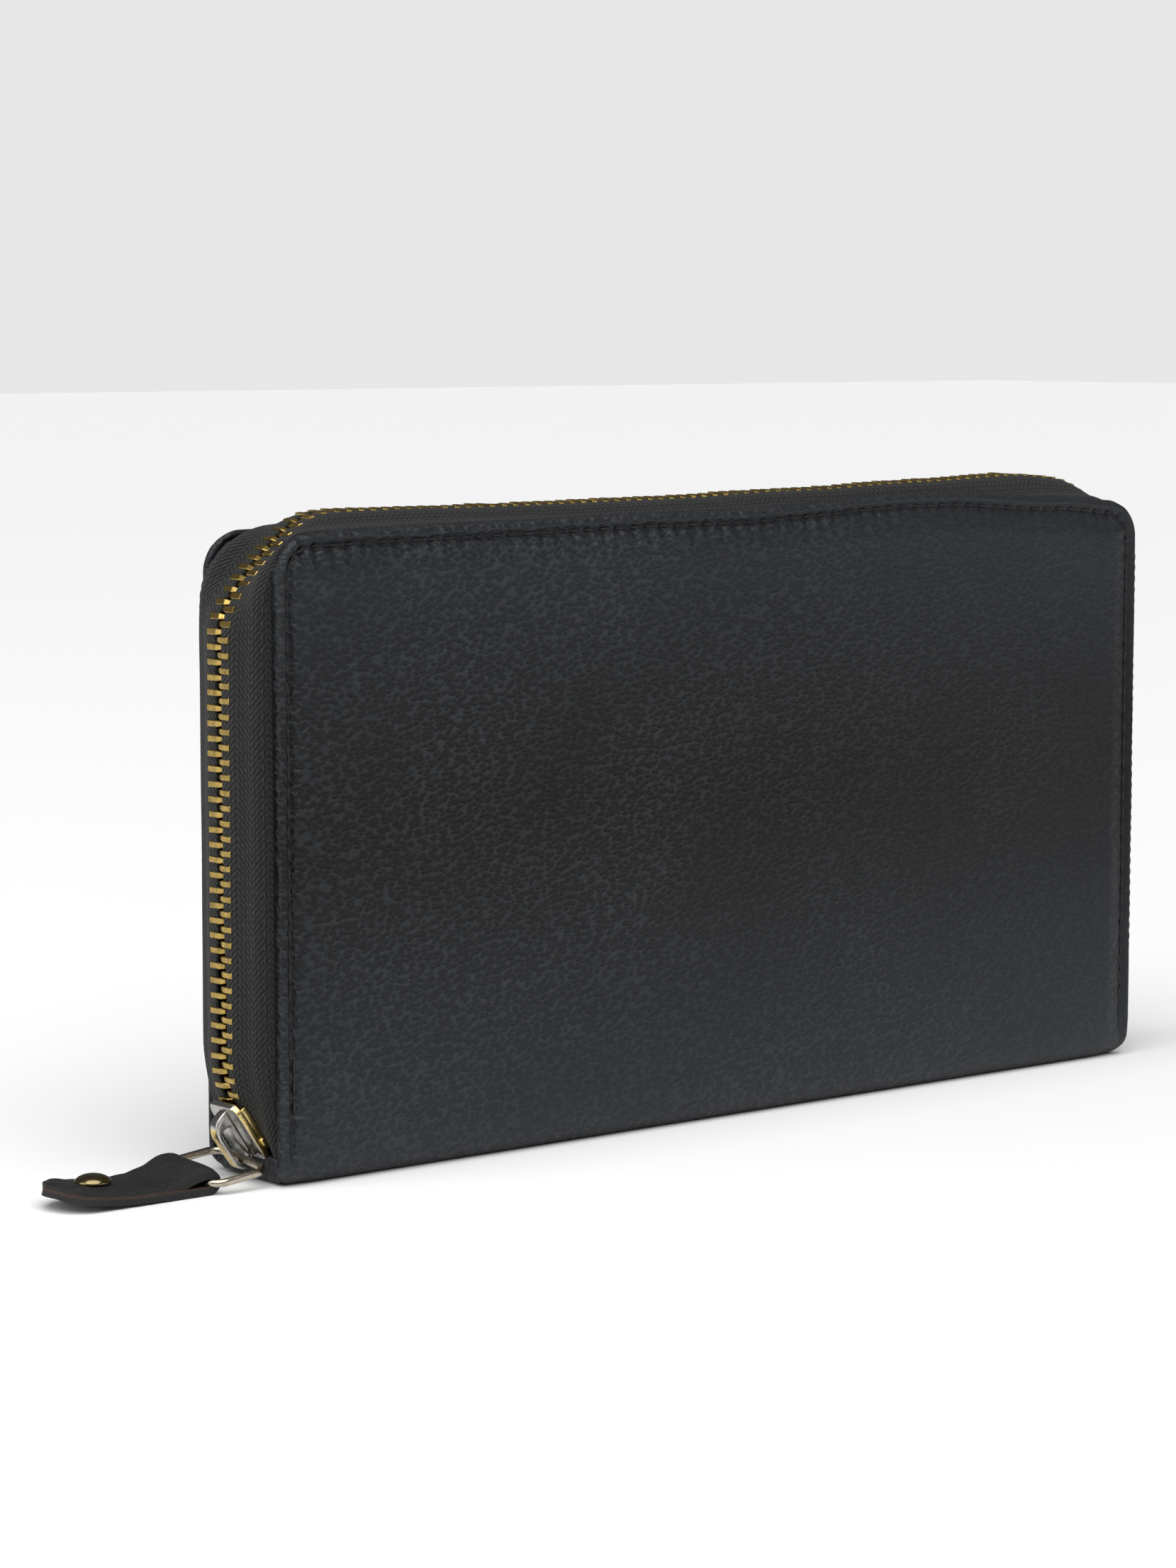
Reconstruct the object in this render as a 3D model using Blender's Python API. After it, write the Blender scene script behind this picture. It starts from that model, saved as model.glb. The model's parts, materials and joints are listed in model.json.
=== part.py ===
"""Zip around wallet standing on its spine, as separate pieces in metres.

X runs along the wallet, Y through its thickness (front cover at -Y), Z up.
The origin is the middle of the spine's flat underside. The zip closes the left,
top and right sides, and its slider stands at the lower left end of the chain.
"""

import math

import bmesh
import bpy
from mathutils import Matrix, Vector

MM = 0.001

# Driving sizes, in millimetres.
WIDTH = 200.0            # along the spine
HEIGHT = 107.0           # spine to the top edge of the covers
THICKNESS = 22.0         # outer face to outer face
LEATHER = 1.4            # outer leather
GAP = 0.3                # clearance between pieces that lie on each other
FOLD_HEIGHT = 5.0        # height of the two fold lines above the spine's underside
SPINE_RADIUS = 4.5       # outer radius of the spine's long edges
COVER_CORNER = 7.0       # corner radius of the covers

CHAIN_REACH = 3.5        # the chain's middle plane beyond the covers' side edges
CHAIN_RISE = 2.8         # and above their top edge
CHAIN_CORNER = 20.0      # radius of the chain's upper corners
END_RADIUS = 25.0        # radius of the chain's two ends, where it curves in to the spine
END_HEIGHT = 22.2        # where those curves start
SPLIT_HEIGHT = 30.0      # below this the chain flexes with the folds
TOOTH_PITCH = 2.5
TOOTH_THICKNESS = 2.6
TOOTH_TIP = 1.1          # distance of a tooth's tip from the middle plane
TOOTH_ROOT = 2.0
TOOTH_BACK = 2.9
TAPE_EDGE = 3.2          # distance of the tape's beaded edge from the middle plane
TAPE = 0.5
TAPE_MARGIN = 10.0       # how far the tape runs in under the lining
TAPE_END_MARGIN = 6.0    # the same at the chain's ends
TAPE_END_ANGLE = 47.3    # where the tape ends on the end curve, in degrees
TEETH_END_ANGLE = 46.0
STOP_ANGLES = (48.0, 50.5)
STOP_HALF = 1.2          # half the thickness of the metal stops
TOP_STOP = (3.4, 5.2)    # from the middle plane, one on each row where the slider starts
BOTTOM_STOP = 2.6        # the closed end's stop holds both rows
PARTING = 0.9            # how far each row parts in the slider's mouth
PARTING_SPAN = 13.0      # over this many degrees

SLIDER_ANGLE = 33.0      # where the slider stands on the end curve, and how far it turns there
SLIDER_SPAN = 14.5       # the slider holds the chain straight this far each way, in degrees
SLIDER_SWING = 25.0      # radius of the slider's way from the end curve to the straight side
SLIDER_TOP = 6.4         # its narrow end, from its middle
SLIDER_MOUTH = 6.2       # its wide end
CHANNEL = 1.5            # half the height inside the slider
PLATE = 1.3              # thickness of its plates
SLOT = 0.6               # half the height of the slots that the tape leaves through

RING_PIVOT = (-3.5, 4.3)     # along and above the slider's middle
RING_LENGTH = 10.8
RING_WIDTH = 14.4
RING_WIRE = 1.5
STRAP_WIDTH = 12.2
STRAP_LENGTH = 26.0          # from the ring's outer bar to the strap's tip
STRAP_LAYER = 1.65
STRAP_OFFSET = -0.6          # the pull hangs a little towards the front
STRAP_HOLE = 0.35            # clearance round the ring's bar
RIVET_RADIUS = 3.1
RIVET_POST = 1.3             # radius of its hole
RIVET_DISC = 2.5             # radius of the disc underneath
RIVET_FROM_TIP = 7.5

COIN_HALF_WIDTH = 86.0
COIN_BOTTOM = 2.5            # the coin pocket stands on the spine's lining
COIN_CHAIN_HEIGHT = 92.1
COIN_FRONT = (-1.3, -0.7)    # Y of the pocket's front and back
COIN_BACK = (0.9, 1.4)
COIN_BINDING = (-1.4, 1.5)
COIN_TAPE = (-1.2, -0.8)
COIN_TEETH = (-1.8, -0.2)
COIN_TEETH_ENDS = (-80.0, 82.0)
COIN_FRONT_TOP = 85.7
COIN_BACK_TOP = 97.2
COIN_BINDING_TOP = 100.0
COIN_SLIDER = (-78.5, -69.5)
COIN_PULL_LENGTH = 12.0      # from its pivot to its free end
CARD_TOPS = (50.0, 62.0, 74.0, 86.0)
CARD_STRIP_HEIGHT = 26.0
CARD_STRIP = 0.4
CARD_LEAN = 1.52             # a strip's top leans this far over the strip above it
CARD_HALF_WIDTH = 86.3
GUSSET = 0.4                 # thickness of the gusset cloth along X
GUSSET_RANGE = (4.0, 84.0)
GUSSET_FOLD = ((92.8, 7.3), (82.0, 3.6), (90.4, 1.9))    # X and |Y| of its edges and its crease
SPINE_LINING = ((-91.0, -7.6, 1.7), (91.0, 7.6, 2.2))
BOARD_INSET = 10.4           # board and lining stay this far inside the chain
BOARD_BOTTOM = 12.0
LINING_INSET = 5.3

HALF_WIDTH = WIDTH / 2
HALF_DEPTH = THICKNESS / 2
CHAIN_X = HALF_WIDTH + CHAIN_REACH
CHAIN_Z = HEIGHT + CHAIN_RISE
LEATHER_INNER = HALF_DEPTH - LEATHER
TAPE_LEVEL = LEATHER_INNER - GAP - TAPE / 2
LINING_OUTER = TAPE_LEVEL - TAPE / 2 - GAP
LINING = 0.6
LINING_INNER = LINING_OUTER - LINING

COLOURS = {
    "leather": ((0.020, 0.020, 0.022), 0.55, 0.0),
    "edge_leather": ((0.024, 0.022, 0.022), 0.6, 0.0),
    "lining": ((0.030, 0.030, 0.033), 0.8, 0.0),
    "board": ((0.30, 0.28, 0.25), 0.9, 0.0),
    "tape": ((0.028, 0.029, 0.027), 0.85, 0.0),
    "brass": ((0.55, 0.40, 0.14), 0.35, 1.0),
    "nickel": ((0.55, 0.54, 0.50), 0.25, 1.0),
}


def clear_scene():
    for item in list(bpy.data.objects):
        bpy.data.objects.remove(item, do_unlink=True)


def material(name):
    found = bpy.data.materials.get(name)
    if found:
        return found
    colour, roughness, metallic = COLOURS[name]
    made = bpy.data.materials.new(name)
    made.use_nodes = True
    shader = made.node_tree.nodes["Principled BSDF"]
    shader.inputs["Base Color"].default_value = (*colour, 1.0)
    shader.inputs["Roughness"].default_value = roughness
    shader.inputs["Metallic"].default_value = metallic
    return made


def empty(name, location, parent=None):
    """A guide on a joint's axis; places are in millimetres of the world."""
    made = bpy.data.objects.new(name, None)
    bpy.context.scene.collection.objects.link(made)
    if parent:
        made.parent = parent
        bpy.context.view_layer.update()
        made.matrix_parent_inverse = parent.matrix_world.inverted()
    made.matrix_world = Matrix.Translation(Vector(location) * MM)
    bpy.context.view_layer.update()
    return made


def add(name, mesh_builder, finish, parent=None, place=None):
    """Make one object from a bmesh in millimetres, at place, and parent it where it stands."""
    mesh = bpy.data.meshes.new(name)
    bmesh.ops.recalc_face_normals(mesh_builder, faces=mesh_builder.faces)
    bmesh.ops.scale(mesh_builder, vec=(MM, MM, MM), verts=mesh_builder.verts)
    mesh_builder.to_mesh(mesh)
    mesh_builder.free()
    mesh.materials.append(material(finish))
    made = bpy.data.objects.new(name, mesh)
    bpy.context.scene.collection.objects.link(made)
    world = place.copy() if place else Matrix.Identity(4)
    if parent:
        made.parent = parent
        made.matrix_parent_inverse = parent.matrix_world.inverted()
    made.matrix_world = world
    bpy.context.view_layer.update()
    return made


def combine(target, other, operation):
    """Join, cut or trim target with other, and take other away."""
    cut = target.modifiers.new(operation.lower(), "BOOLEAN")
    cut.operation = operation
    cut.solver = "EXACT"
    cut.object = other
    bpy.context.view_layer.update()
    whole = target.evaluated_get(bpy.context.evaluated_depsgraph_get())
    result = bpy.data.meshes.new_from_object(whole)
    target.modifiers.remove(cut)
    target.data = result
    bpy.data.objects.remove(other, do_unlink=True)


def arc(centre, radius, start, end, steps):
    """Points on an arc, angles in degrees."""
    angles = [math.radians(start + (end - start) * i / steps) for i in range(steps + 1)]
    return [(centre[0] + radius * math.cos(a), centre[1] + radius * math.sin(a)) for a in angles]


def rounded(low, high, lower_radius, upper_radius, steps=5):
    """A rounded rectangle's outline, counter-clockwise."""
    corners = [
        ((high[0], low[1]), (-1, 1), lower_radius, 270),
        ((high[0], high[1]), (-1, -1), upper_radius, 0),
        ((low[0], high[1]), (1, -1), upper_radius, 90),
        ((low[0], low[1]), (1, 1), lower_radius, 180),
    ]
    points = []
    for (x, z), (to_x, to_z), radius, start in corners:
        if radius:
            centre = (x + to_x * radius, z + to_z * radius)
            points += arc(centre, radius, start, start + 90, steps)
        else:
            points.append((x, z))
    return points


def prism(outline, low, high, axis="Y"):
    """Extrude an outline along an axis: XZ along Y, YZ along X, or XY along Z."""
    order = {"Y": lambda a, b, c: (a, c, b), "X": lambda a, b, c: (c, a, b), "Z": lambda a, b, c: (a, b, c)}
    place = order[axis]
    built = bmesh.new()
    first = [built.verts.new(place(a, b, low)) for a, b in outline]
    last = [built.verts.new(place(a, b, high)) for a, b in outline]
    built.faces.new(first)
    built.faces.new(list(reversed(last)))
    count = len(outline)
    for i in range(count):
        j = (i + 1) % count
        built.faces.new((first[i], last[i], last[j], first[j]))
    return built


def box(low, high):
    corner = ((low[0], low[1]), (high[0], low[1]), (high[0], high[1]), (low[0], high[1]))
    return prism(corner, low[2], high[2], "Z")


def window(outer, inner, low, high):
    """A flat piece with one opening: two outlines of equal count, in XZ, thick along Y."""
    built = bmesh.new()
    count = len(outer)
    loops = [[built.verts.new((a, y, b)) for a, b in line] for y in (low, high) for line in (outer, inner)]
    near_out, near_in, far_out, far_in = loops
    for i in range(count):
        j = (i + 1) % count
        built.faces.new((near_out[i], near_out[j], near_in[j], near_in[i]))
        built.faces.new((far_out[j], far_out[i], far_in[i], far_in[j]))
        built.faces.new((near_out[j], near_out[i], far_out[i], far_out[j]))
        built.faces.new((near_in[i], near_in[j], far_in[j], far_in[i]))
    return built


def sweep(stations):
    """Join equal outlines of points, station by station, and cap both ends."""
    built = bmesh.new()
    rings = [[built.verts.new(point) for point in ring] for ring in stations]
    count = len(rings[0])
    for one, two in zip(rings, rings[1:]):
        for i in range(count):
            j = (i + 1) % count
            built.faces.new((one[i], one[j], two[j], two[i]))
    built.faces.new(list(reversed(rings[0])))
    built.faces.new(rings[-1])
    return built


def chain_place(distance):
    """Where the chain's middle plane is, at a distance from the left end of its straight part.

    Returns the XZ point and the direction out of the wallet.
    """
    side = CHAIN_Z - CHAIN_CORNER - SPLIT_HEIGHT
    corner = CHAIN_CORNER * math.pi / 2
    top = 2 * (CHAIN_X - CHAIN_CORNER)
    if distance > side + corner + top / 2:
        point, out = chain_place(2 * (side + corner) + top - distance)
        return (-point[0], point[1]), (-out[0], out[1])
    if distance <= side:
        return (-CHAIN_X, SPLIT_HEIGHT + distance), (-1.0, 0.0)
    if distance <= side + corner:
        turn = math.pi - (distance - side) / CHAIN_CORNER
        out = (math.cos(turn), math.sin(turn))
        centre = (-CHAIN_X + CHAIN_CORNER, CHAIN_Z - CHAIN_CORNER)
        return (centre[0] + CHAIN_CORNER * out[0], centre[1] + CHAIN_CORNER * out[1]), out
    return (-CHAIN_X + CHAIN_CORNER + distance - side - corner, CHAIN_Z), (0.0, 1.0)


def chain_length():
    return 2 * (CHAIN_Z - CHAIN_CORNER - SPLIT_HEIGHT) + math.pi * CHAIN_CORNER + 2 * (CHAIN_X - CHAIN_CORNER)


def end_place(angle, side):
    """The same on the curve at the lower end of a side, angle in degrees below its start.

    The chain is straight where the slider holds it.
    """
    off_middle = math.radians(angle - SLIDER_ANGLE)
    span = math.radians(SLIDER_SPAN)
    radius = END_RADIUS
    turn = math.radians(angle)
    out = (side * math.cos(turn), -math.sin(turn))
    if abs(off_middle) <= span:
        radius *= math.cos(span) / math.cos(off_middle)
        middle = math.radians(SLIDER_ANGLE)
        place_out = (side * math.cos(middle), -math.sin(middle))
    else:
        place_out = out
    centre = (side * (CHAIN_X - END_RADIUS), END_HEIGHT)
    return (centre[0] + radius * out[0], centre[1] + radius * out[1]), place_out


def at(place, outward, depth):
    """World point from a place on the chain, a distance out of the wallet and a Y."""
    (x, z), (out_x, out_z) = place
    return (x + outward * out_x, depth, z + outward * out_z)


def panel_outline(inset, low):
    """A panel's outline at an equal distance inside the chain all round, cut level at low."""
    upper = CHAIN_CORNER - inset
    lower = END_RADIUS - inset
    reach = math.degrees(math.asin((END_HEIGHT - low) / lower))
    right = CHAIN_X - END_RADIUS
    top = (CHAIN_X - CHAIN_CORNER, CHAIN_Z - CHAIN_CORNER)
    points = arc((right, END_HEIGHT), lower, -reach, 0, 5) + arc(top, upper, 0, 90, 5)
    return points + [(-x, z) for x, z in reversed(points)]


def tape_section(face, edge, margin):
    """The tape's cross-section for a half: (outward, Y) points from the chain to its sewn margin."""
    line = [(0.0, edge), (0.0, 7.2), (-1.3, 8.6), (-3.5, TAPE_LEVEL), (-margin, TAPE_LEVEL)]
    half = TAPE / 2
    sides = [[], []]
    for i, (out, depth) in enumerate(line):
        before = Vector(line[max(i - 1, 0)])
        after = Vector(line[min(i + 1, len(line) - 1)])
        along = (after - before).normalized()
        normal = Vector((along.y, -along.x))
        sides[0].append((out + half * normal.x, face * (depth + half * normal.y)))
        sides[1].append((out - half * normal.x, face * (depth - half * normal.y)))
    return sides[0] + list(reversed(sides[1]))


def zip_tape(face):
    side = CHAIN_Z - CHAIN_CORNER - SPLIT_HEIGHT
    corner = CHAIN_CORNER * math.pi / 2
    turns = [side + corner * i / 6 for i in range(7)]
    places = [0.0] + turns + [chain_length() - d for d in reversed(turns)] + [chain_length()]
    section = tape_section(face, TAPE_EDGE, TAPE_MARGIN)
    return sweep([[at(chain_place(d), out, y) for out, y in section] for d in places])


def zip_teeth(face):
    """A half of the chain: a brass row cut into teeth on its inner edge, half a pitch from the other row's."""
    half = TOOTH_THICKNESS / 2
    step = TOOTH_PITCH / 2
    first = 0 if face < 0 else 1
    stations = []
    for i in range(int(chain_length() / step) + 1):
        inner = TOOTH_TIP if (i + first) % 2 else TOOTH_ROOT
        ring = [(-half, inner), (half, inner), (half, TOOTH_BACK), (-half, TOOTH_BACK)]
        place = chain_place(i * step)
        stations.append([at(place, out, face * y) for out, y in ring])
    return sweep(stations)


def end_spread(angle, side):
    """How far the two rows part at an angle on the slider's end."""
    if side > 0:
        return 0.0
    parting = (angle - SLIDER_ANGLE) / PARTING_SPAN
    return PARTING * min(max(parting, 0.0), 1.0)


def end_stations(side, last_angle):
    straight = [((side * CHAIN_X, SPLIT_HEIGHT - GAP), (float(side), 0.0), 0.0)]
    first = SLIDER_ANGLE - SLIDER_SPAN
    angles = [first * i / 3 for i in range(4)]
    angles += [first + (last_angle - first) * i / 4 for i in range(1, 5)]
    return straight + [end_place(angle, side) + (angle,) for angle in angles]


def zip_end_tape(face, side):
    stations = []
    for point, out_way, angle in end_stations(side, TAPE_END_ANGLE):
        section = tape_section(face, TAPE_EDGE + end_spread(angle, side), TAPE_END_MARGIN)
        stations.append([at((point, out_way), out, y) for out, y in section])
    return sweep(stations)


def zip_end_teeth(face, side):
    half = TOOTH_THICKNESS / 2
    stations = []
    for point, out_way, angle in end_stations(side, TEETH_END_ANGLE):
        spread = end_spread(angle, side)
        ring = [(-half, TOOTH_TIP), (half, TOOTH_TIP), (half, TOOTH_BACK), (-half, TOOTH_BACK)]
        stations.append([at((point, out_way), out, face * (y + spread)) for out, y in ring])
    return sweep(stations)


def zip_stop(side, inner, outer):
    """A metal stop clamped on the end of the chain, past the last teeth."""
    stations = []
    for angle in STOP_ANGLES:
        place = end_place(angle, side)
        ring = [(-STOP_HALF, inner), (STOP_HALF, inner), (STOP_HALF, outer), (-STOP_HALF, outer)]
        stations.append([at(place, out, y) for out, y in ring])
    return sweep(stations)


def spine_leather():
    """The U of leather that joins the covers and that the wallet stands on."""
    top = FOLD_HEIGHT - GAP
    flat = HALF_DEPTH - SPINE_RADIUS
    inner = SPINE_RADIUS - LEATHER
    outer_line = [(HALF_DEPTH, top)] + list(reversed(arc((flat, SPINE_RADIUS), SPINE_RADIUS, -90, 0, 5)))
    outer_line += list(reversed(arc((-flat, SPINE_RADIUS), SPINE_RADIUS, 180, 270, 5))) + [(-HALF_DEPTH, top)]
    inner_line = [(-LEATHER_INNER, top)] + arc((-flat, SPINE_RADIUS), inner, 180, 270, 5)
    inner_line += arc((flat, SPINE_RADIUS), inner, -90, 0, 5) + [(LEATHER_INNER, top)]
    end = HALF_WIDTH - 1
    made = add("spine_leather", prism(outer_line + inner_line, -end, end, "X"), "leather")
    outline = rounded((-end, -1e-3), (end, 20.0), COVER_CORNER, 0, 6)
    trim = add("spine_trim", prism(outline, -20, 20), "leather")
    combine(made, trim, "INTERSECT")
    return made


def card_strip(face, top):
    """One card slot strip: its top leans away from the lining, over the strip above it."""
    bottom = top - CARD_STRIP_HEIGHT
    back = LINING_INNER - GAP
    section = [(face * back, bottom), (face * (back - CARD_STRIP), bottom)]
    section += [(face * (back - CARD_STRIP - CARD_LEAN), top), (face * (back - CARD_LEAN), top)]
    return prism(section, -CARD_HALF_WIDTH, CARD_HALF_WIDTH, "X")


def cover(face, name, hinge):
    """Leather, stiffener, lining and card slots of one cover."""
    low = FOLD_HEIGHT + GAP

    def levels(inner, outer):
        return sorted((face * inner, face * outer))

    outline = rounded((-HALF_WIDTH, low), (HALF_WIDTH, HEIGHT), 0, COVER_CORNER)
    add(name + "_cover_leather", prism(outline, *levels(LEATHER_INNER, HALF_DEPTH)), "leather", hinge)
    outline = panel_outline(BOARD_INSET, BOARD_BOTTOM)
    board = levels(TAPE_LEVEL - TAPE / 2, TAPE_LEVEL + TAPE / 2)
    add(name + "_cover_board", prism(outline, *board), "board", hinge)
    outline = panel_outline(LINING_INSET, low)
    add(name + "_cover_lining", prism(outline, *levels(LINING_INNER, LINING_OUTER)), "lining", hinge)
    for number, top in enumerate(CARD_TOPS, 1):
        add(f"{name}_card_slot_{number}", card_strip(face, top), "edge_leather", hinge)
    add(name + "_zip_tape", zip_tape(face), "tape", hinge)
    add(name + "_zip_teeth", zip_teeth(face), "brass", hinge)


def gusset(face, side):
    """A side gusset folded inwards between a cover and the coin pocket."""
    half = GUSSET / 2
    outer = [(x + half, y) for x, y in GUSSET_FOLD]
    inner = [(x - half, y) for x, y in reversed(GUSSET_FOLD)]
    return prism([(side * x, face * y) for x, y in outer + inner], *GUSSET_RANGE, "Z")


def coin_pocket():
    """The zipped pocket that stands on the spine between the two note pockets."""

    def strip(name, depth, bottom, top, finish, ends=(-COIN_HALF_WIDTH, COIN_HALF_WIDTH)):
        add(name, box((ends[0], depth[0], bottom), (ends[1], depth[1], top)), finish)

    strip("coin_pocket_front", COIN_FRONT, COIN_BOTTOM, COIN_FRONT_TOP, "lining")
    strip("coin_pocket_back", COIN_BACK, COIN_BOTTOM, COIN_BACK_TOP, "lining")
    strip("coin_pocket_binding", COIN_BINDING, COIN_BACK_TOP + GAP, COIN_BINDING_TOP, "edge_leather")
    strip("coin_tape_lower", COIN_TAPE, COIN_FRONT_TOP + GAP, COIN_CHAIN_HEIGHT - 1.8, "tape")
    strip("coin_tape_upper", COIN_TAPE, COIN_CHAIN_HEIGHT + 1.8, COIN_BACK_TOP, "tape")
    for name, low, high in (("lower", -1.5, -0.4), ("upper", 0.4, 1.5)):
        bottom, top = COIN_CHAIN_HEIGHT + low, COIN_CHAIN_HEIGHT + high
        strip("coin_teeth_" + name, COIN_TEETH, bottom, top, "brass", COIN_TEETH_ENDS)


def coin_slider():
    """The coin pocket's own small slider and its tab, which swings on the slider's lug."""
    low, high = COIN_SLIDER
    middle = COIN_CHAIN_HEIGHT
    guide = empty("coin_slider_guide", ((low + high) / 2, -1.0, middle))
    body = add("coin_slider", box((low, -2.8, middle - 3.4), (high, -2.1, middle + 3.4)), "brass", guide)
    pieces = [
        box((low, 0.1, middle - 3.0), (high, 0.6, middle + 3.0)),
        box((low + 0.4, -2.4, middle - 0.25), (low + 2.2, 0.3, middle + 0.25)),
        box((low + 3.4, -3.9, middle - 0.6), (low + 4.8, -2.5, middle + 0.6)),
    ]
    for piece in pieces:
        combine(body, add("coin_slider_piece", piece, "brass"), "UNION")
    pivot = low + 4.1
    hinge = empty("coin_pull_axis", (pivot, -3.4, middle), parent=guide)
    outer = rounded((pivot - 1.7, middle - 1.6), (pivot + COIN_PULL_LENGTH, middle + 1.6), 0, 0)
    inner = rounded((pivot - 1.0, middle - 1.0), (pivot + 1.3, middle + 1.0), 0, 0)
    add("coin_pull", window(outer, inner, -3.7, -3.1), "brass", hinge)


def slider_frame():
    """Axes of the slider: X along the chain to its closed side, Y as the wallet, Z outwards."""
    (x, z), (out_x, out_z) = end_place(SLIDER_ANGLE, -1)
    out = Vector((out_x, 0.0, out_z))
    side = Vector((0.0, 1.0, 0.0))
    along = side.cross(out)
    turn = Matrix((along, side, out)).transposed().to_4x4()
    return Matrix.Translation(Vector((x, 0.0, z)) * MM) @ turn


def slider_axis():
    """XZ of the point that the slider turns round, equally far from the chain at both ends of its way."""
    (x, z), (out_x, out_z) = end_place(SLIDER_ANGLE, -1)
    axis_x = -CHAIN_X + 0.1 + SLIDER_SWING
    axis_z = z + (out_x * (x - axis_x) - SLIDER_SWING) / out_z
    return axis_x, axis_z


def slider_outline():
    """Half-widths along the slider: narrow at the closed chain, wide and blunt at the mouth."""
    return [(SLIDER_TOP, 3.2), (5.6, 3.9), (-3.0, 4.8), (-5.0, 4.2), (-SLIDER_MOUTH, 1.8)]


def slider_body(guide):
    """Two plates held apart by the wedge in the mouth, with rims that hold the teeth in."""
    place = slider_frame()
    half = slider_outline()
    outline = [(a, w) for a, w in half] + [(a, -w) for a, w in reversed(half)]
    body = add("slider_body", prism(outline, CHANNEL, CHANNEL + PLATE, "Z"), "nickel", guide, place)
    wedge = [(-2.6, 0.5), (-4.2, 1.4), (-5.6, 1.4), (-5.9, 0.7)]
    wedge += [(a, -w) for a, w in reversed(wedge)]
    reach = CHANNEL + PLATE / 2
    pieces = [prism(outline, -CHANNEL - PLATE, -CHANNEL, "Z"), prism(wedge, -reach, reach, "Z")]
    rim = [(5.6, 3.9), (-3.0, 4.8), (-3.0, 4.1), (5.6, 3.2)]
    for face in (-1, 1):
        outline = [(a, face * w) for a, w in rim]
        pieces.append(prism(outline, SLOT, reach, "Z"))
        pieces.append(prism(outline, -reach, -SLOT, "Z"))
    for piece in pieces:
        combine(body, add("slider_piece", piece, "nickel", None, place), "UNION")


def slider_bridge(guide):
    """The tall arch that holds the ring, a flat fin with a long eye, on the outer plate."""
    base = CHANNEL + PLATE + GAP
    top = CHANNEL + PLATE + 4.5
    outer = rounded((-5.4, base), (5.8, top), 0.6, 2.6, 4)
    inner = rounded((-4.7, base + 0.4), (2.6, top - 1.7), 1.0, 1.0, 4)
    add("slider_bridge", window(outer, inner, -1.0, 1.0), "nickel", guide, slider_frame())


def ring_points():
    """World places, in XZ, of the ring's bar in the bridge and its bar in the strap."""
    along, above = RING_PIVOT
    pivot = slider_frame() @ Vector((along * MM, 0.0, above * MM)) / MM
    loop = STRAP_LAYER + STRAP_HOLE + RING_WIRE / 2
    outer_height = GAP + loop
    reach = math.sqrt(RING_LENGTH**2 - (pivot.z - outer_height) ** 2)
    return (pivot.x, pivot.z), (pivot.x - reach, outer_height)


def pull_ring(hinge):
    """A rounded rectangular link of round wire."""
    (x0, z0), (x1, z1) = ring_points()
    curve = bpy.data.curves.new("pull_ring", "CURVE")
    curve.dimensions = "3D"
    curve.bevel_depth = RING_WIRE / 2 * MM
    curve.bevel_resolution = 2
    half = RING_WIDTH / 2
    outline = rounded((0.0, -half), (RING_LENGTH, half), 1.8, 1.8, 4)
    slope = (z1 - z0) / RING_LENGTH
    run = (x1 - x0) / RING_LENGTH
    spline = curve.splines.new("POLY")
    spline.points.add(len(outline) - 1)
    for point, (along, across) in zip(spline.points, outline):
        spot = Vector((x0 + run * along, STRAP_OFFSET + across, z0 + slope * along))
        point.co = (*(spot * MM), 1.0)
    spline.use_cyclic_u = True
    curve.materials.append(material("nickel"))
    made = bpy.data.objects.new("pull_ring", curve)
    bpy.context.scene.collection.objects.link(made)
    made.parent = hinge
    made.matrix_parent_inverse = hinge.matrix_world.inverted()


def pull_strap(hinge):
    """A leather strip folded round the ring's outer bar and riveted to itself."""
    _, (bar_x, bar_z) = ring_points()
    half = STRAP_WIDTH / 2
    low, high = STRAP_OFFSET - half, STRAP_OFFSET + half
    hole = STRAP_HOLE + RING_WIRE / 2
    loop = hole + STRAP_LAYER
    eye_out = arc((bar_x, bar_z), loop, 0, 337.5, 15)
    eye_in = arc((bar_x, bar_z), hole, 0, 337.5, 15)
    strap = add("pull_strap", window(eye_out, eye_in, low, high), "edge_leather", hinge)
    tip = bar_x - STRAP_LENGTH
    end = arc((tip + half, STRAP_OFFSET), half, 90, 270, 12)
    outline = [(bar_x - loop + 1.0, high)] + end + [(bar_x - loop + 1.0, low)]
    floor = GAP
    top = GAP + 2 * STRAP_LAYER
    combine(strap, add("strap_tail", prism(outline, floor, top, "Z"), "edge_leather"), "UNION")
    wedge = [(bar_x - 1.6, floor), (bar_x - 1.6, floor + 1.2), (bar_x - loop, top), (bar_x - 5.0, top)]
    wedge += [(bar_x - 5.0, floor)]
    combine(strap, add("strap_throat", prism(wedge, low, high), "edge_leather"), "UNION")
    combine(strap, add("strap_bore", prism(eye_in, low - 1, high + 1), "edge_leather"), "DIFFERENCE")
    rivet_x = tip + RIVET_FROM_TIP
    shank = arc((rivet_x, STRAP_OFFSET), RIVET_POST, 0, 330, 11)
    seat = arc((rivet_x, STRAP_OFFSET), RIVET_DISC + 0.4, 0, 345, 23)
    combine(strap, add("rivet_hole", prism(shank, -1, 6, "Z"), "brass"), "DIFFERENCE")
    combine(strap, add("rivet_seat", prism(seat, -1, floor + 0.9, "Z"), "brass"), "DIFFERENCE")
    pull_rivet(hinge, rivet_x, floor, top)


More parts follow.
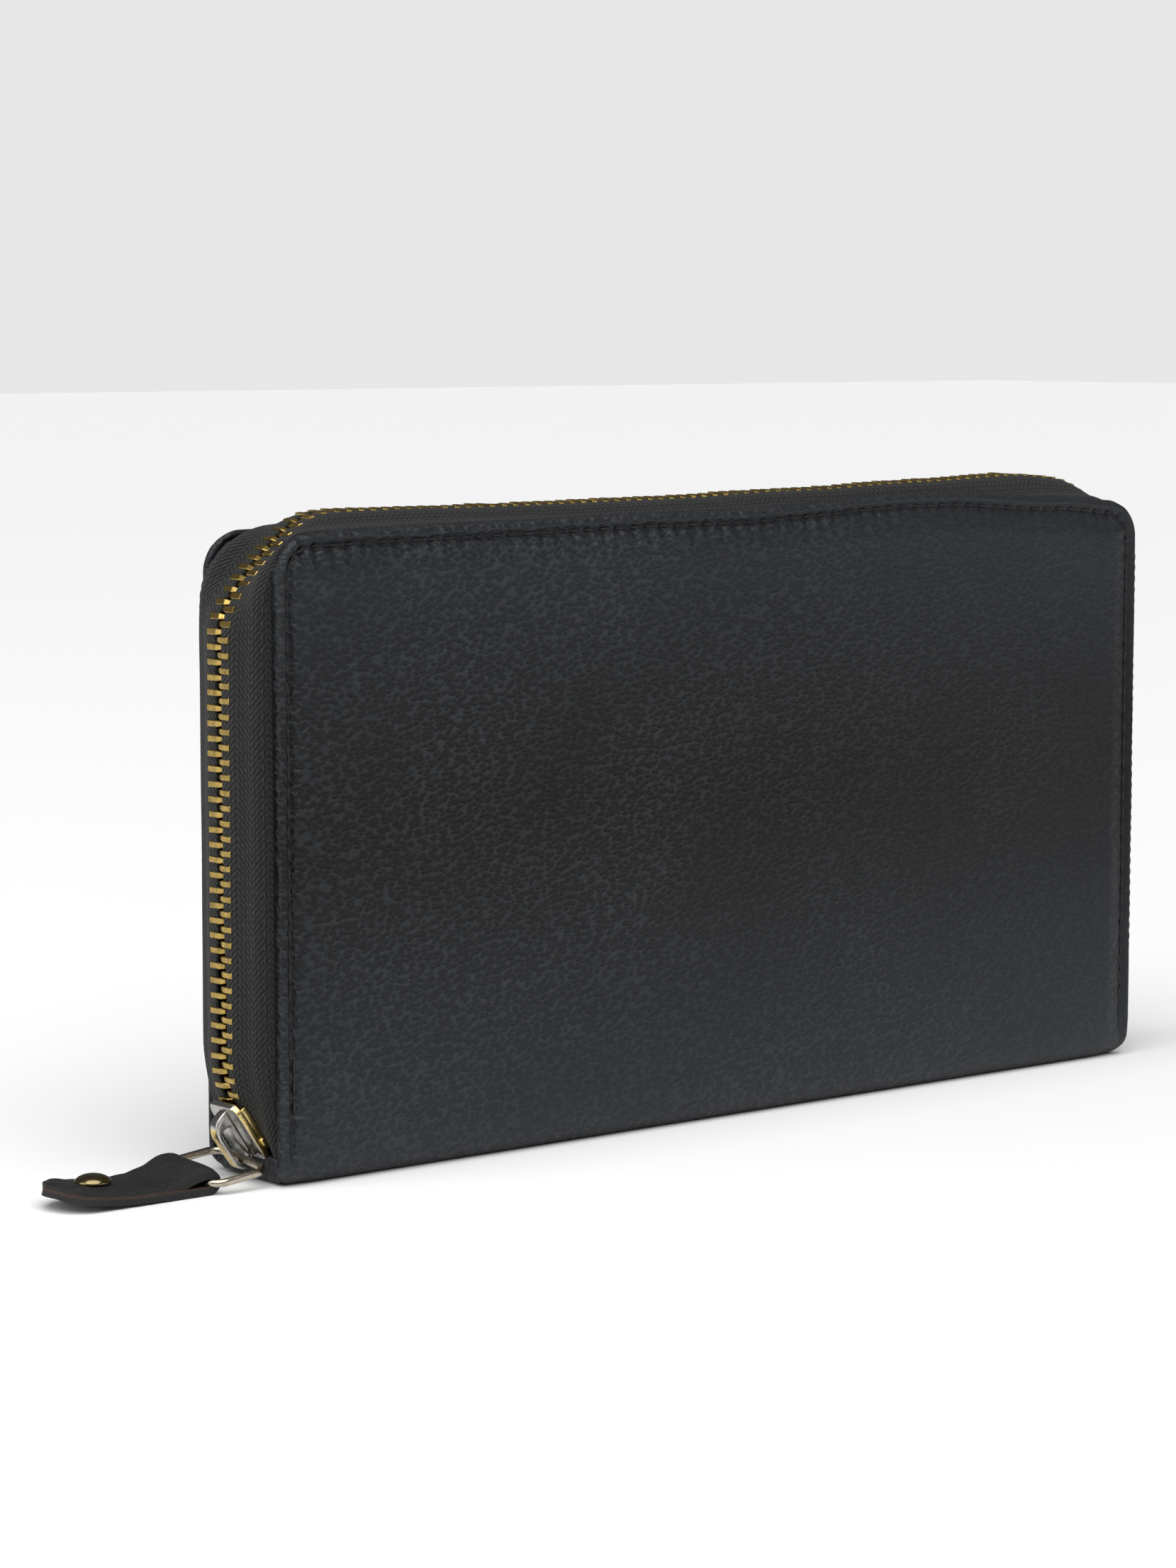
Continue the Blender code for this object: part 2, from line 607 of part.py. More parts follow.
def pull_rivet(hinge, x, floor, top):
    """The domed cap with its post, and the disc that closes it underneath."""
    under = top + GAP
    dome = [(RIVET_RADIUS, under), (RIVET_RADIUS, under + 0.3), (2.4, under + 0.8), (1.3, under + 1.1)]
    profile = [(1.0, floor + 1.2), (1.0, under)] + dome
    built = bmesh.new()
    line = [built.verts.new((x + r, STRAP_OFFSET, z)) for r, z in profile]
    edges = [built.edges.new(pair) for pair in zip(line, line[1:])]
    middle = (x, STRAP_OFFSET, 0.0)
    bmesh.ops.spin(
        built, geom=line + edges, cent=middle, axis=(0, 0, 1), angle=math.tau, steps=20, use_merge=True
    )
    bmesh.ops.remove_doubles(built, verts=built.verts, dist=1e-4)
    bmesh.ops.holes_fill(built, edges=[edge for edge in built.edges if edge.is_boundary], sides=0)
    add("rivet_cap", built, "brass", hinge)
    disc = arc((x, STRAP_OFFSET), RIVET_DISC, 0, 342, 19)
    add("rivet_back", prism(disc, floor, floor + 0.6, "Z"), "brass", hinge)


def main():
    clear_scene()
    spine_leather()
    add("spine_lining", box(*SPINE_LINING), "lining")
    coin_pocket()
    coin_slider()
    for face, name in ((-1, "front"), (1, "back")):
        hinge = empty(name + "_fold", (0.0, face * HALF_DEPTH, FOLD_HEIGHT))
        cover(face, name, hinge)
        for side, where in ((-1, "left"), (1, "right")):
            add(f"{name}_gusset_{where}", gusset(face, side), "lining")
            add(f"{name}_zip_tape_end_{where}", zip_end_tape(face, side), "tape")
            add(f"{name}_zip_teeth_end_{where}", zip_end_teeth(face, side), "brass")
        inner, outer = sorted((face * TOP_STOP[0], face * TOP_STOP[1]))
        add(f"{name}_top_stop", zip_stop(-1, inner, outer), "brass")
    add("bottom_stop", zip_stop(1, -BOTTOM_STOP, BOTTOM_STOP), "brass")
    axis_x, axis_z = slider_axis()
    guide = empty("slider_guide", (axis_x, 0.0, axis_z))
    slider_body(guide)
    slider_bridge(guide)
    (x0, z0), (x1, z1) = ring_points()
    ring_axis = empty("ring_axis", (x0, 0.0, z0), parent=guide)
    pull_ring(ring_axis)
    strap_axis = empty("strap_axis", (x1, 0.0, z1), parent=ring_axis)
    pull_strap(strap_axis)


main()
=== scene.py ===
import math
import json
import bmesh
import bpy
from mathutils import Matrix, Vector, noise


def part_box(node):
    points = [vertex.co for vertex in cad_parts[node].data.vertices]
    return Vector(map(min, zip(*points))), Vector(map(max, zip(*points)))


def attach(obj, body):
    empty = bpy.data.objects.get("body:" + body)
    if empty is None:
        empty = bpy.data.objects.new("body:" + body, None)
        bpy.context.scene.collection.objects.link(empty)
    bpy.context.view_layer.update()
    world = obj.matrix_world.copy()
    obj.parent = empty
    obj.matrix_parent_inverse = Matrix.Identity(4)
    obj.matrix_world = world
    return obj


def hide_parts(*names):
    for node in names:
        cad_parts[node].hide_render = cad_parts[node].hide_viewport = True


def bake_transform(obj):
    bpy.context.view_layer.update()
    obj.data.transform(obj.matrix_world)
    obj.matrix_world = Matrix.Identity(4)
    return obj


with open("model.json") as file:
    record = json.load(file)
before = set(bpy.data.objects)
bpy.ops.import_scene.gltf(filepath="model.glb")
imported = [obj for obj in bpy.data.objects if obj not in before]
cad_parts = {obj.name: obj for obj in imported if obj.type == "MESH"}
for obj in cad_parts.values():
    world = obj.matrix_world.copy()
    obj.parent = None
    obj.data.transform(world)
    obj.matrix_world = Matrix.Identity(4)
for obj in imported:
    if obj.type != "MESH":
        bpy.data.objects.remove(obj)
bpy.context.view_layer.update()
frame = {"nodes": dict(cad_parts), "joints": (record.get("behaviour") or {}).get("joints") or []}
mm = 0.001
print("frame loaded")


# ---- places that every piece is measured from, in millimetres
def nodeBox(node):
    low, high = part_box(node)
    return low / mm, high / mm


def jointPlace(name):
    joint = next(j for j in frame["joints"] if j["name"] == name)
    return Vector(joint["pos_m"]) / mm


leatherLow, leatherHigh = nodeBox("front_cover_leather")
teethHigh = nodeBox("front_zip_teeth")[1]
toothHalf = 1.3  # the chain's line runs through the middle of the teeth
wallet = dict(
    halfWidth=leatherHigh.x,
    height=leatherHigh.z,
    halfDepth=-leatherLow.y,
    spineRadius=4.5,
    corner=7.0,
)
chain = dict(
    halfWidth=teethHigh.x - toothHalf,
    height=teethHigh.z - toothHalf,
    corner=20.0,
    endRadius=25.0,
    endHeight=22.2,
    endAngle=47.3,
    sliderAngle=33.0,
    sliderSpan=14.5,
    pitch=2.5,
    sideReach=2.4,
    topReach=1.0,
    cornerCut=2.3,
    rightCornerCut=-0.4,
    edgeTurn=0.8,
    edgeDrop=18.4,
    edgeIn=4.2,
    edgeRound=4.0,
    parting=0.9,
    partingSpan=13.0,
    foldLow=3.5,
    foldHigh=30.0,
)


sides = (("front", -1), ("back", 1))


def smooth(low, high, value):
    part = min(max((value - low) / (high - low), 0.0), 1.0)
    return part * part * (3 - 2 * part)


def mix(first, second, share):
    return first + (second - first) * share


def waver(*place):
    return noise.noise(Vector(place))


# ---- shader maths as plain expressions
class Wire:
    def __init__(self, maker, socket):
        self.maker = maker
        self.socket = socket

    def maths(self, operation, first, second=None):
        values = {0: first} if second is None else {0: first, 1: second}
        return self.maker.node("ShaderNodeMath", values, operation=operation)

    def sine(self):
        return self.maths("SINE", self)

    def size(self):
        return self.maths("ABSOLUTE", self)

    def fraction(self):
        return self.maths("FRACT", self)

    def ramp(self, low, high, fromLow=0.0, fromHigh=1.0):
        values = {"Value": self, "From Min": fromLow, "From Max": fromHigh, "To Min": low, "To Max": high}
        return self.maker.node("ShaderNodeMapRange", values)


def addOperator(name, operation):
    setattr(Wire, f"__{name}__", lambda self, other: self.maths(operation, self, other))
    setattr(Wire, f"__r{name}__", lambda self, other: self.maths(operation, other, self))


for name, operation in (("add", "ADD"), ("sub", "SUBTRACT"), ("mul", "MULTIPLY"), ("truediv", "DIVIDE")):
    addOperator(name, operation)


class Finish:
    def __init__(self, name, **sockets):
        self.material = bpy.data.materials.new(name)
        self.material.use_nodes = True
        self.tree = self.material.node_tree
        self.shader = self.tree.nodes["Principled BSDF"]
        for socket, value in sockets.items():
            self.put(socket.replace("_", " "), value)

    def node(self, kind, values=None, out=0, stops=None, **settings):
        made = self.tree.nodes.new(kind)
        for setting, value in settings.items():
            setattr(made, setting, value)
        if stops:
            ramp = made.color_ramp
            while len(ramp.elements) < len(stops):
                ramp.elements.new(0.5)
            for element, (place, colour) in zip(ramp.elements, stops):
                element.position = place
                element.color = (*colour, 1.0)
        for socket, value in (values or {}).items():
            if isinstance(value, Wire):
                self.tree.links.new(value.socket, made.inputs[socket])
            else:
                made.inputs[socket].default_value = value
        return Wire(self, made.outputs[out])

    def put(self, socket, value):
        if isinstance(value, Wire):
            self.tree.links.new(value.socket, self.shader.inputs[socket])
        else:
            self.shader.inputs[socket].default_value = tint(value) if isinstance(value, tuple) else value

    def place(self, scale=(1.0, 1.0, 1.0), turn=(0.0, 0.0, 0.0), uv=False):
        kind = "UV" if uv else "Object"
        source = self.node("ShaderNodeTexCoord", out=kind)
        values = {"Vector": source, "Scale": scale, "Rotation": turn}
        return self.node("ShaderNodeMapping", values)

    def inMm(self):
        return self.place(scale=(1 / mm, 1 / mm, 1 / mm))

    def colour(self, share, first, second):
        self.put("Base Color", self.blendColour(share, first, second))

    def relief(self, height, distance, strength=1.0):
        self.put("Normal", self.bump(height, distance, strength))

    def axis(self, vector, name):
        return self.node("ShaderNodeSeparateXYZ", {"Vector": vector}, out=name)

    def grain(self, vector, scale, detail=3.0, rough=0.5, out="Fac"):
        values = {"Vector": vector, "Scale": scale, "Detail": detail, "Roughness": rough}
        return self.node("ShaderNodeTexNoise", values, out=out)

    def cells(self, vector, scale, feature, smoothness=None):
        values = {"Vector": vector, "Scale": scale}
        if smoothness is not None:
            values["Smoothness"] = smoothness
        return self.node("ShaderNodeTexVoronoi", values, out="Distance", feature=feature)

    def blendColour(self, share, first, second):
        values = {0: share, 6: tint(first), 7: tint(second)}
        return self.node("ShaderNodeMix", values, out=2, data_type="RGBA")

    def bump(self, height, distance, strength):
        values = {"Height": height, "Distance": distance * mm, "Strength": strength}
        return self.node("ShaderNodeBump", values, out="Normal")


def tint(colour):
    return colour if isinstance(colour, Wire) else (*colour, 1.0)


# ---- finishes
def pebbledLeather():
    look = dict(
        cell=0.8, stretch=1.55, depth=0.2, paintedLight=0.72,
        dark=(0.0013, 0.0015, 0.0018), light=(0.0245, 0.0270, 0.0312))
    made = Finish("pebbledLeather", Specular_IOR_Level=0.24)
    spot = made.place(scale=(1000 / look["stretch"], 1 / mm, 1 / mm), turn=(0.0, 0.12, 0.0))
    plain = made.inMm()
    drift = made.grain(spot, 0.9, 2.0, out="Color")
    drift = made.node("ShaderNodeVectorMath", {0: drift, "Scale": 0.6}, operation="SCALE")
    warped = made.node("ShaderNodeVectorMath", {0: spot, 1: drift}, operation="ADD")
    dip = made.cells(warped, 1 / look["cell"], "SMOOTH_F1", 0.12)
    line = dip.ramp(0.0, 1.0, 0.46, 0.74)
    fine = made.grain(plain, 4.0, 4.0, 0.6)
    broad = made.grain(plain, 0.03, 3.0)
    across = made.axis(plain, "X").ramp(1.0, 0.3, -40.0, 95.0)  # the hide is smoother towards the right
    strength = broad.ramp(0.6, 1.2, 0.35, 0.65) * across
    height = (dip * 0.8 + line * 0.3) * strength + fine * 0.12
    # painted light: the colour is made lighter towards the bottom as painted reflection of the pale floor,
    # lighter towards the top as painted light from above, and a little lighter towards the right
    rise = made.axis(plain, "Z").ramp(-1.0, 1.0, 4.0, 116.0)
    paintedLight = rise * rise / (rise.size() + 0.25) * look["paintedLight"]
    paintedLight = paintedLight + made.axis(plain, "X").ramp(0.0, 0.12, 10.0, 95.0)
    # the grain's ridge lines are coloured lighter: painted highlight on the ridges
    share = line * strength * 0.5 + broad.ramp(-0.02, 0.05, 0.3, 0.7) + fine * 0.03 + paintedLight
    made.colour(share, look["dark"], look["light"])
    made.put("Roughness", made.grain(plain, 0.5, 3.0).ramp(0.42, 0.52, 0.3, 0.7) - line * 0.06)
    made.relief(height, look["depth"], 1.0)
    return made.material


def smoothLeather(name="smoothLeather", colour=(0.017, 0.017, 0.018)):
    made = Finish(name, Specular_IOR_Level=0.45)
    spot = made.inMm()
    pores = made.cells(spot, 2.6, "SMOOTH_F1", 0.5)
    fine = made.grain(spot, 7.0, 4.0, 0.6)
    broad = made.grain(spot, 0.25, 3.0)
    dark = tuple(c * 0.55 for c in colour)
    made.colour(broad.ramp(0.0, 1.0, 0.3, 0.7), dark, colour)
    made.put("Roughness", broad.ramp(0.42, 0.6, 0.3, 0.7))
    crackle = made.cells(spot, 1.9, "DISTANCE_TO_EDGE").ramp(0.0, 1.0, 0.0, 0.2)
    crease = made.grain(made.place(scale=(1000.0, 260.0, 1000.0), turn=(0.0, 0.0, 0.35)), 0.9, 3.0, 0.6)
    made.relief((1 - pores) * 0.4 + fine * 0.5 + crackle * 0.3 + crease * 1.6, 0.22, 1.0)
    return made.material


def rawEdge():
    # painted black outside, brown where the two layers meet
    look = dict(meet=1.6, rise=1.9, riseFrom=-122.0, tip=-138.2, reach=0.42)
    made = Finish("rawLeatherEdge")
    spot = made.inMm()
    fibre = made.grain(spot, 3.0, 4.0, 0.7)
    broad = made.grain(spot, 0.5, 3.0)
    toTip = made.axis(spot, "X").ramp(0.0, 1.0, look["riseFrom"], look["tip"])
    off = (made.axis(spot, "Z") - look["meet"] - toTip * toTip * look["rise"]).size() / look["reach"]
    brown = made.node("ShaderNodeValToRGB", {"Fac": fibre * 0.6 + broad * 0.4}, stops=[
        (0.3, (0.008, 0.005, 0.004)), (0.5, (0.032, 0.014, 0.010)), (0.7, (0.085, 0.040, 0.027))])
    share = (off + broad * 0.9 - 0.45).ramp(0.0, 1.0, 0.35, 0.9)
    made.colour(share, brown, (0.006, 0.0055, 0.0055))
    made.put("Roughness", 0.75)
    made.relief(fibre, 0.12, 0.8)
    return made.material


def zipFabric():
    look = dict(rib=1.1, chevron=5.6, dark=(0.0016, 0.0019, 0.0016), light=(0.0205, 0.0235, 0.0200))
    made = Finish("zipFabric", Specular_IOR_Level=0.3, Sheen_Weight=0.08, Sheen_Roughness=0.5)
    spot = made.place(uv=True)
    along = made.axis(spot, "X") * 1000
    across = made.axis(spot, "Y") * 1000
    lane = ((across / look["chevron"]).fraction() - 0.5).size() * look["chevron"]
    slant = (along + lane * 1.3) / look["rib"]
    rib = (slant * math.tau).sine() * 0.5 + 0.5
    weft = (across / 0.72 * math.tau).sine() * 0.5 + 0.5
    speck = made.grain(made.inMm(), 2.4, 4.0, 0.7)
    fuzz = made.grain(made.inMm(), 9.0, 3.0, 0.7)
    knit = rib * (weft * 0.7 + 0.3)
    share = knit * 0.55 + speck.ramp(0.0, 1.3, 0.52, 0.72)
    made.colour(share, look["dark"], look["light"])
    made.put("Roughness", 0.85 - rib * 0.2)
    made.relief(knit * 0.8 + fuzz * 0.3, 0.34, 1.0)
    return made.material


def liningCloth(name="liningCloth", colour=(0.03, 0.03, 0.033)):
    made = Finish(name, Specular_IOR_Level=0.3, Sheen_Weight=0.2, Sheen_Roughness=0.4)
    spot = made.inMm()
    warp = ((made.axis(spot, "X") + made.axis(spot, "Z") * 0.5) / 0.55 * math.tau).sine() * 0.5 + 0.5
    weft = ((made.axis(spot, "Z") + made.axis(spot, "Y")) / 0.4 * math.tau).sine() * 0.5 + 0.5
    broad = made.grain(spot, 0.08, 3.0)
    weave = warp * 0.6 + weft * 0.4
    dark = tuple(c * 0.45 for c in colour)
    made.colour(weave * broad.ramp(0.6, 1.0, 0.3, 0.7), dark, colour)
    made.put("Roughness", 0.78)
    made.relief(weave, 0.07, 0.7)
    return made.material


def metal(name, bright, worn, roughness, wear=0.5, bumpSize=0.02):
    made = Finish(name, Metallic=1.0)
    spot = made.inMm()
    cloud = made.grain(spot, 0.7, 4.0, 0.6)
    scratch = made.grain(made.place(scale=(1000.0, 1000.0, 6000.0)), 1.6, 3.0, 0.7)
    share = (cloud * 0.6 + scratch * 0.4).ramp(0.0, 1.0, 0.42, 0.42 + wear * 0.4)
    made.colour(share, bright, worn)
    made.put("Roughness", share.ramp(roughness, roughness + 0.22))
    made.relief(scratch, bumpSize, 0.5)
    return made.material


def thread():
    made = Finish("blackThread", Specular_IOR_Level=0.5)
    spot = made.inMm()
    twist = ((made.axis(spot, "X") + made.axis(spot, "Z") + made.axis(spot, "Y")) / 0.34 * math.tau).sine()
    fuzz = made.grain(spot, 6.0, 3.0)
    share = twist * 0.25 + 0.4 + fuzz * 0.2
    made.colour(share, (0.003, 0.003, 0.0035), (0.014, 0.014, 0.015))
    made.put("Roughness", fuzz.ramp(0.45, 0.65))
    made.relief(twist * 0.5 + fuzz * 0.5, 0.08, 0.8)
    return made.material


def fibreBoard():
    made = Finish("fibreBoard", Roughness=0.9)
    spot = made.inMm()
    fibre = made.grain(spot, 1.2, 5.0, 0.7)
    made.colour(fibre, (0.16, 0.14, 0.11), (0.34, 0.31, 0.26))
    made.relief(fibre, 0.1, 0.6)
    return made.material


finishes = dict(
    leather=pebbledLeather(),
    smooth=smoothLeather(),
    raw=rawEdge(),
    tape=zipFabric(),
    cloth=liningCloth(),
    brass=metal("antiqueBrass", (0.50, 0.35, 0.10), (0.12, 0.078, 0.024), 0.24, 0.9),
    nickel=metal("polishedNickel", (0.52, 0.51, 0.50), (0.36, 0.34, 0.31), 0.16, 0.6, 0.002),
    wire=metal("wireNickel", (0.50, 0.46, 0.39), (0.30, 0.23, 0.13), 0.17, 0.8, 0.003),
    gilt=metal("sliderEdgeBrass", (0.78, 0.60, 0.25), (0.40, 0.28, 0.09), 0.22, 0.8, 0.003),
    rivet=metal("rivetBrass", (0.24, 0.19, 0.10), (0.09, 0.07, 0.035), 0.14, 0.8, 0.01),
    strap=smoothLeather("strapLeather", (0.009, 0.009, 0.010)),
    board=fibreBoard(),
    plainTape=liningCloth("coinTapeCloth", (0.02, 0.02, 0.02)),
    thread=thread(),
)
print("finishes made")


# ---- shared tools for pieces; shapes are worked out in millimetres
def turned(mesh, matrix):
    bmesh.ops.transform(mesh, matrix=matrix, verts=mesh.verts)


def facedOut(mesh):
    bmesh.ops.recalc_face_normals(mesh, faces=mesh.faces)


def inScene(name, data):
    made = bpy.data.objects.new(name, data)
    bpy.context.scene.collection.objects.link(made)
    return made


def keep(name, mesh, materials, replaces=()):
    turned(mesh, Matrix.Scale(mm, 4))
    data = bpy.data.meshes.new(name)
    mesh.to_mesh(data)
    mesh.free()
    for item in materials:
        data.materials.append(finishes[item])
    data.shade_smooth()
    made = inScene(name, data)
    for node in replaces:
        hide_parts(node)
    return made


def thicken(piece, thickness, offset=0.0):
    solid = piece.modifiers.new("thickness", "SOLIDIFY")
    solid.thickness = thickness * mm
    solid.offset = offset
    return solid


def bevelled(mesh, geom, offset, segments, affect="EDGES"):
    bmesh.ops.bevel(
        mesh, geom=geom, offset=offset, affect=affect, segments=segments, profile=0.5, material=-1)


def shapedGrid(columns, rows, shape, wantUv=False):
    mesh = bmesh.new()
    bmesh.ops.create_grid(mesh, x_segments=columns, y_segments=rows, size=0.5)
    layer = mesh.loops.layers.uv.new("UVMap") if wantUv else None
    spots = {}
    for vert in mesh.verts:
        vert.co, spots[vert.index] = shape(vert.co.x + 0.5, vert.co.y + 0.5)
    if wantUv:
        for face in mesh.faces:
            for loop in face.loops:
                loop[layer].uv = Vector(spots[loop.vert.index]) * mm
    return mesh


def spread(share, edge, edgeShare, whole):
    # even steps, with finer ones within a distance of both ends
    if share < edgeShare:
        return share / edgeShare * edge
    if share > 1 - edgeShare:
        return whole - (1 - share) / edgeShare * edge
    return edge + (share - edgeShare) / (1 - 2 * edgeShare) * (whole - 2 * edge)


# ---- cover leather: front and back halves meet under the spine
coverLook = dict(
    seam=2.4,
    seamDepth=0.9,
    seamWidth=0.7,
    welt=0.42,
    puff=0.85,
    puffWidth=5.0,
    edgeRound=1.3,
    thickness=1.1,
    stitch=3.35,
    pucker=0.4,
    pit=0.4,
    wave=0.32,
    topWave=0.45,
    lowCorner=3.2,
    fineEdge=9.0,
)


def skinProfile(s):
    # outer face of the leather from the middle of the underside: place and outward way, front half
    radius = wallet["spineRadius"]
    flat = wallet["halfDepth"] - radius
    bend = radius * math.pi / 2
    if s <= flat:
        return (-s, 0.0), (0.0, -1.0)
    if s <= flat + bend:
        turn = (s - flat) / radius
        out = (-math.sin(turn), -math.cos(turn))
        return (-flat + radius * out[0], radius + radius * out[1]), out
    return (-wallet["halfDepth"], radius + s - flat - bend), (-1.0, 0.0)


def skinLength():
    radius = wallet["spineRadius"]
    return wallet["halfDepth"] - radius + radius * math.pi / 2 + wallet["height"] - radius


topEdgeMarks = ((-110, 0.6), (-97, 0.6), (-10, 1.6), (50, 3.2), (78, 1.8), (96, 0.4), (110, 0.4))


def marked(marks, x):
    for (x0, z0), (x1, z1) in zip(marks, marks[1:]):
        if x <= x1:
            return mix(z0, z1, smooth(x0, x1, x))
    return marks[-1][1]


def topEdgeLift(x, face):
    # the front leather stands a little higher right of the middle
    wave = coverLook["topWave"] * waver(x / 38.0, 3.7, 0.4)
    return wave + marked(topEdgeMarks, x) * (1.0 if face < 0 else 0.2)


def skinPoint(x, s, face):
    # x and s run over a plain rectangle; returns the place on the finished leather
    look = coverLook
    half, length = wallet["halfWidth"], skinLength()
    fromSide, fromTop = half - abs(x), length - s
    inset = min(fromSide, fromTop)
    along = s if fromSide < fromTop else x
    corner = wallet["corner"]
    a, b = abs(x) - (half - corner), s - (length - corner)
    px, ps = x, s
    if a > 0 and b > 0:
        squeeze = max(a, b) / math.hypot(a, b)
        px = math.copysign(half - corner + a * squeeze, x)
        ps = length - corner + b * squeeze
    (y, z), (outY, outZ) = skinProfile(ps)
    low = look["lowCorner"]
    if z < low and abs(px) > half - 25:
        limit = half - low + math.sqrt(max(low**2 - (low - z) ** 2, 0.0))
        px -= math.copysign((half - limit) * smooth(half - 25, half, abs(px)), px)
    upright = smooth(2.0, 8.0, z)
    height = 0.0
    gap = (inset - look["seam"]) / look["seamWidth"]
    stitchPhase = math.cos(math.tau * along / look["stitch"])
    seam = math.exp(-gap * gap) * upright
    height -= seam * look["seamDepth"] * (0.82 + 0.18 * stitchPhase) * mix(1.0, 0.6, smooth(20.0, 90.0, px))
    weltShape = math.sin(min(max(inset / look["seam"], 0.0), 1.0) * math.pi)
    weltNoise = 1 + 0.35 * waver(along / 9.0, face * 3.0, 1.5)
    height += look["welt"] * weltShape * upright * weltNoise
    inside = inset - look["seam"]
    rise = smooth(0.0, look["puffWidth"], inside)
    height += look["puff"] * rise * mix(0.25, 1.0, upright)
    lane = math.floor(along / look["stitch"] + 0.5)
    uneven = 0.6 + 0.7 * waver(lane * 0.7, face * 5.0, 8.5)
    onTop = smooth(-2.0, 2.0, fromSide - fromTop)
    reach = mix(1.6, 3.0, onTop)
    calm = mix(1.0, 0.3, smooth(-30.0, 70.0, px))
    fade = math.exp(-((inside - 1.0) / reach) ** 2) * upright * calm
    height += look["pucker"] * fade * uneven * stitchPhase * mix(0.5, 1.0, onTop)
    hole = math.exp(-(gap * gap) * 0.6) * (0.5 - 0.5 * stitchPhase) ** 3
    height -= look["pit"] * hole * upright
    slow = waver(px / 34.0, z / 26.0, face * 2.0)
    quick = waver(px / 12.0, z / 10.0, face * 4.0 + 9.0)
    height += look["wave"] * (slow + 0.35 * quick) * smooth(0.0, 10.0, inset) * mix(0.3, 1.0, upright)
    if inset < look["edgeRound"]:
        drop = 1 - inset / look["edgeRound"]
        height -= look["edgeRound"] * (1 - math.sqrt(max(1 - drop * drop, 0.0)))
    z += topEdgeLift(px, face) * smooth(60.0, wallet["height"], z)
    return Vector((px, (y + outY * height) * -face, z + outZ * height))


def coverSkin(name, face, body):
    half, length, edge = wallet["halfWidth"], skinLength(), coverLook["fineEdge"]

    def shape(u, v):
        x = spread(u, edge, 0.11, 2 * half) - half
        s = length - spread(1 - v, edge, 0.14, length) if v > 0.5 else spread(v, edge, 0.14, length)
        return skinPoint(x, s, face), (x, s)

    mesh = shapedGrid(300, 150, shape)
    if face > 0:
        bmesh.ops.reverse_faces(mesh, faces=mesh.faces)
    made = keep(name, mesh, ["leather"], (body + "_leather",))
    thicken(made, coverLook["thickness"], -1.0)
    return made


print("tools ready")
frontSkin = coverSkin("frontCoverSkin", -1, "front_cover")
backSkin = coverSkin("backCoverSkin", 1, "back_cover")
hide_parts("spine_leather")
for skin, face, body in ((frontSkin, -1, "front_cover"), (backSkin, 1, "back_cover")):
    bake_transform(skin)
print("cover leather made")


# ---- stitching along the cover's edge
stitchLook = dict(inset=2.4, length=2.3, radius=0.33, sink=-0.12, lowest=10.0, tackTop=22.0)


def edgePath(inset):
    # up the left side, round the corners, along the top and down the right side, as x and s
    half, length = wallet["halfWidth"] - inset, skinLength() - inset
    corner = wallet["corner"] - inset
    low = skinLength() - wallet["height"] + stitchLook["lowest"]
    rise, bend, top = length - corner - low, corner * math.pi / 2, 2 * (half - corner)
    whole = 2 * (rise + bend) + top

    def along(d):
        if d > whole / 2:
            x, s = along(whole - d)
            return -x, s
        if d < rise:
            return -half, low + d
        if d < rise + bend:
            turn = (d - rise) / corner
            return -half + corner - corner * math.cos(turn), length - corner + corner * math.sin(turn)
        return -half + corner + d - rise - bend, length

    return along, whole


def flatToSkin(x, s, face):
    # the rectangle's corners are squeezed round in skinPoint, so a rounded path is widened back first
    corner, half, length = wallet["corner"], wallet["halfWidth"], skinLength()
    a, b = abs(x) - (half - corner), s - (length - corner)
    if a > 0 and b > 0:
        widen = math.hypot(a, b) / max(a, b)
        x = math.copysign(half - corner + a * widen, x)
        s = length - corner + b * widen
    return skinPoint(x, s, face)


def capsule(mesh, place, radius, length, rings=5):
    made = bmesh.ops.create_uvsphere(mesh, u_segments=8, v_segments=rings + 1, radius=1.0)
    shape = Matrix.Diagonal((radius, radius, length / 2, 1.0))
    bmesh.ops.transform(mesh, matrix=place @ shape, verts=made["verts"])


def lineUp(start, end):
    turn = (end - start).to_track_quat("Z", "Y").to_matrix().to_4x4()
    return Matrix.Translation((start + end) / 2) @ turn


def coverStitches(name, face, body):
    look = stitchLook
    along, whole = edgePath(look["inset"])
    mesh = bmesh.new()
    pitch = coverLook["stitch"]
    tack = look["tackTop"] - look["lowest"]
    rows = [(0.0, whole, 0.0, 0.0), (0.0, tack, pitch / 2, 0.45), (whole - tack, whole, pitch / 2, -0.45)]
    for first, last, shift, aside in rows:
        for i in range(int((last - first) / pitch)):
            middle = first + shift + (i + 0.5) * pitch
            ends = []
            for d in (middle - look["length"] / 2, middle + look["length"] / 2):
                x, s = along(min(max(d, 0.0), whole))
                spot = flatToSkin(x + aside, s, face)
                ends.append(spot + Vector((0, face * -look["sink"], 0)))
            capsule(mesh, lineUp(*ends), look["radius"], look["length"] + 0.3)
    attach(keep(name, mesh, ["thread"]), body)


coverStitches("frontCoverStitches", -1, "front_cover")
coverStitches("backCoverStitches", 1, "back_cover")
print("cover stitches made")


# ---- zip chain: one path for tape and teeth
def endPlace(angle):
    # on the left end's curve, straight where the slider holds it
    c = chain
    off, span = math.radians(angle - c["sliderAngle"]), math.radians(c["sliderSpan"])
    turn, radius = math.radians(angle), c["endRadius"]
    out = (-math.cos(turn), -math.sin(turn))
    outward = out
    if abs(off) <= span:
        radius *= math.cos(span) / math.cos(off)
        middle = math.radians(c["sliderAngle"])
        outward = (-math.cos(middle), -math.sin(middle))
    centre = (-c["halfWidth"] + c["endRadius"], c["endHeight"])
    return (centre[0] + radius * out[0], centre[1] + radius * out[1]), outward


topRiseMarks = (
    (-104, 0.0), (-92, -0.4), (-79, -0.1), (-47, -0.2), (-15, 0.0), (18, 0.6),
    (54, 1.5), (75, 2.1), (86, 1.3), (95, 0.4), (104, 0.0))


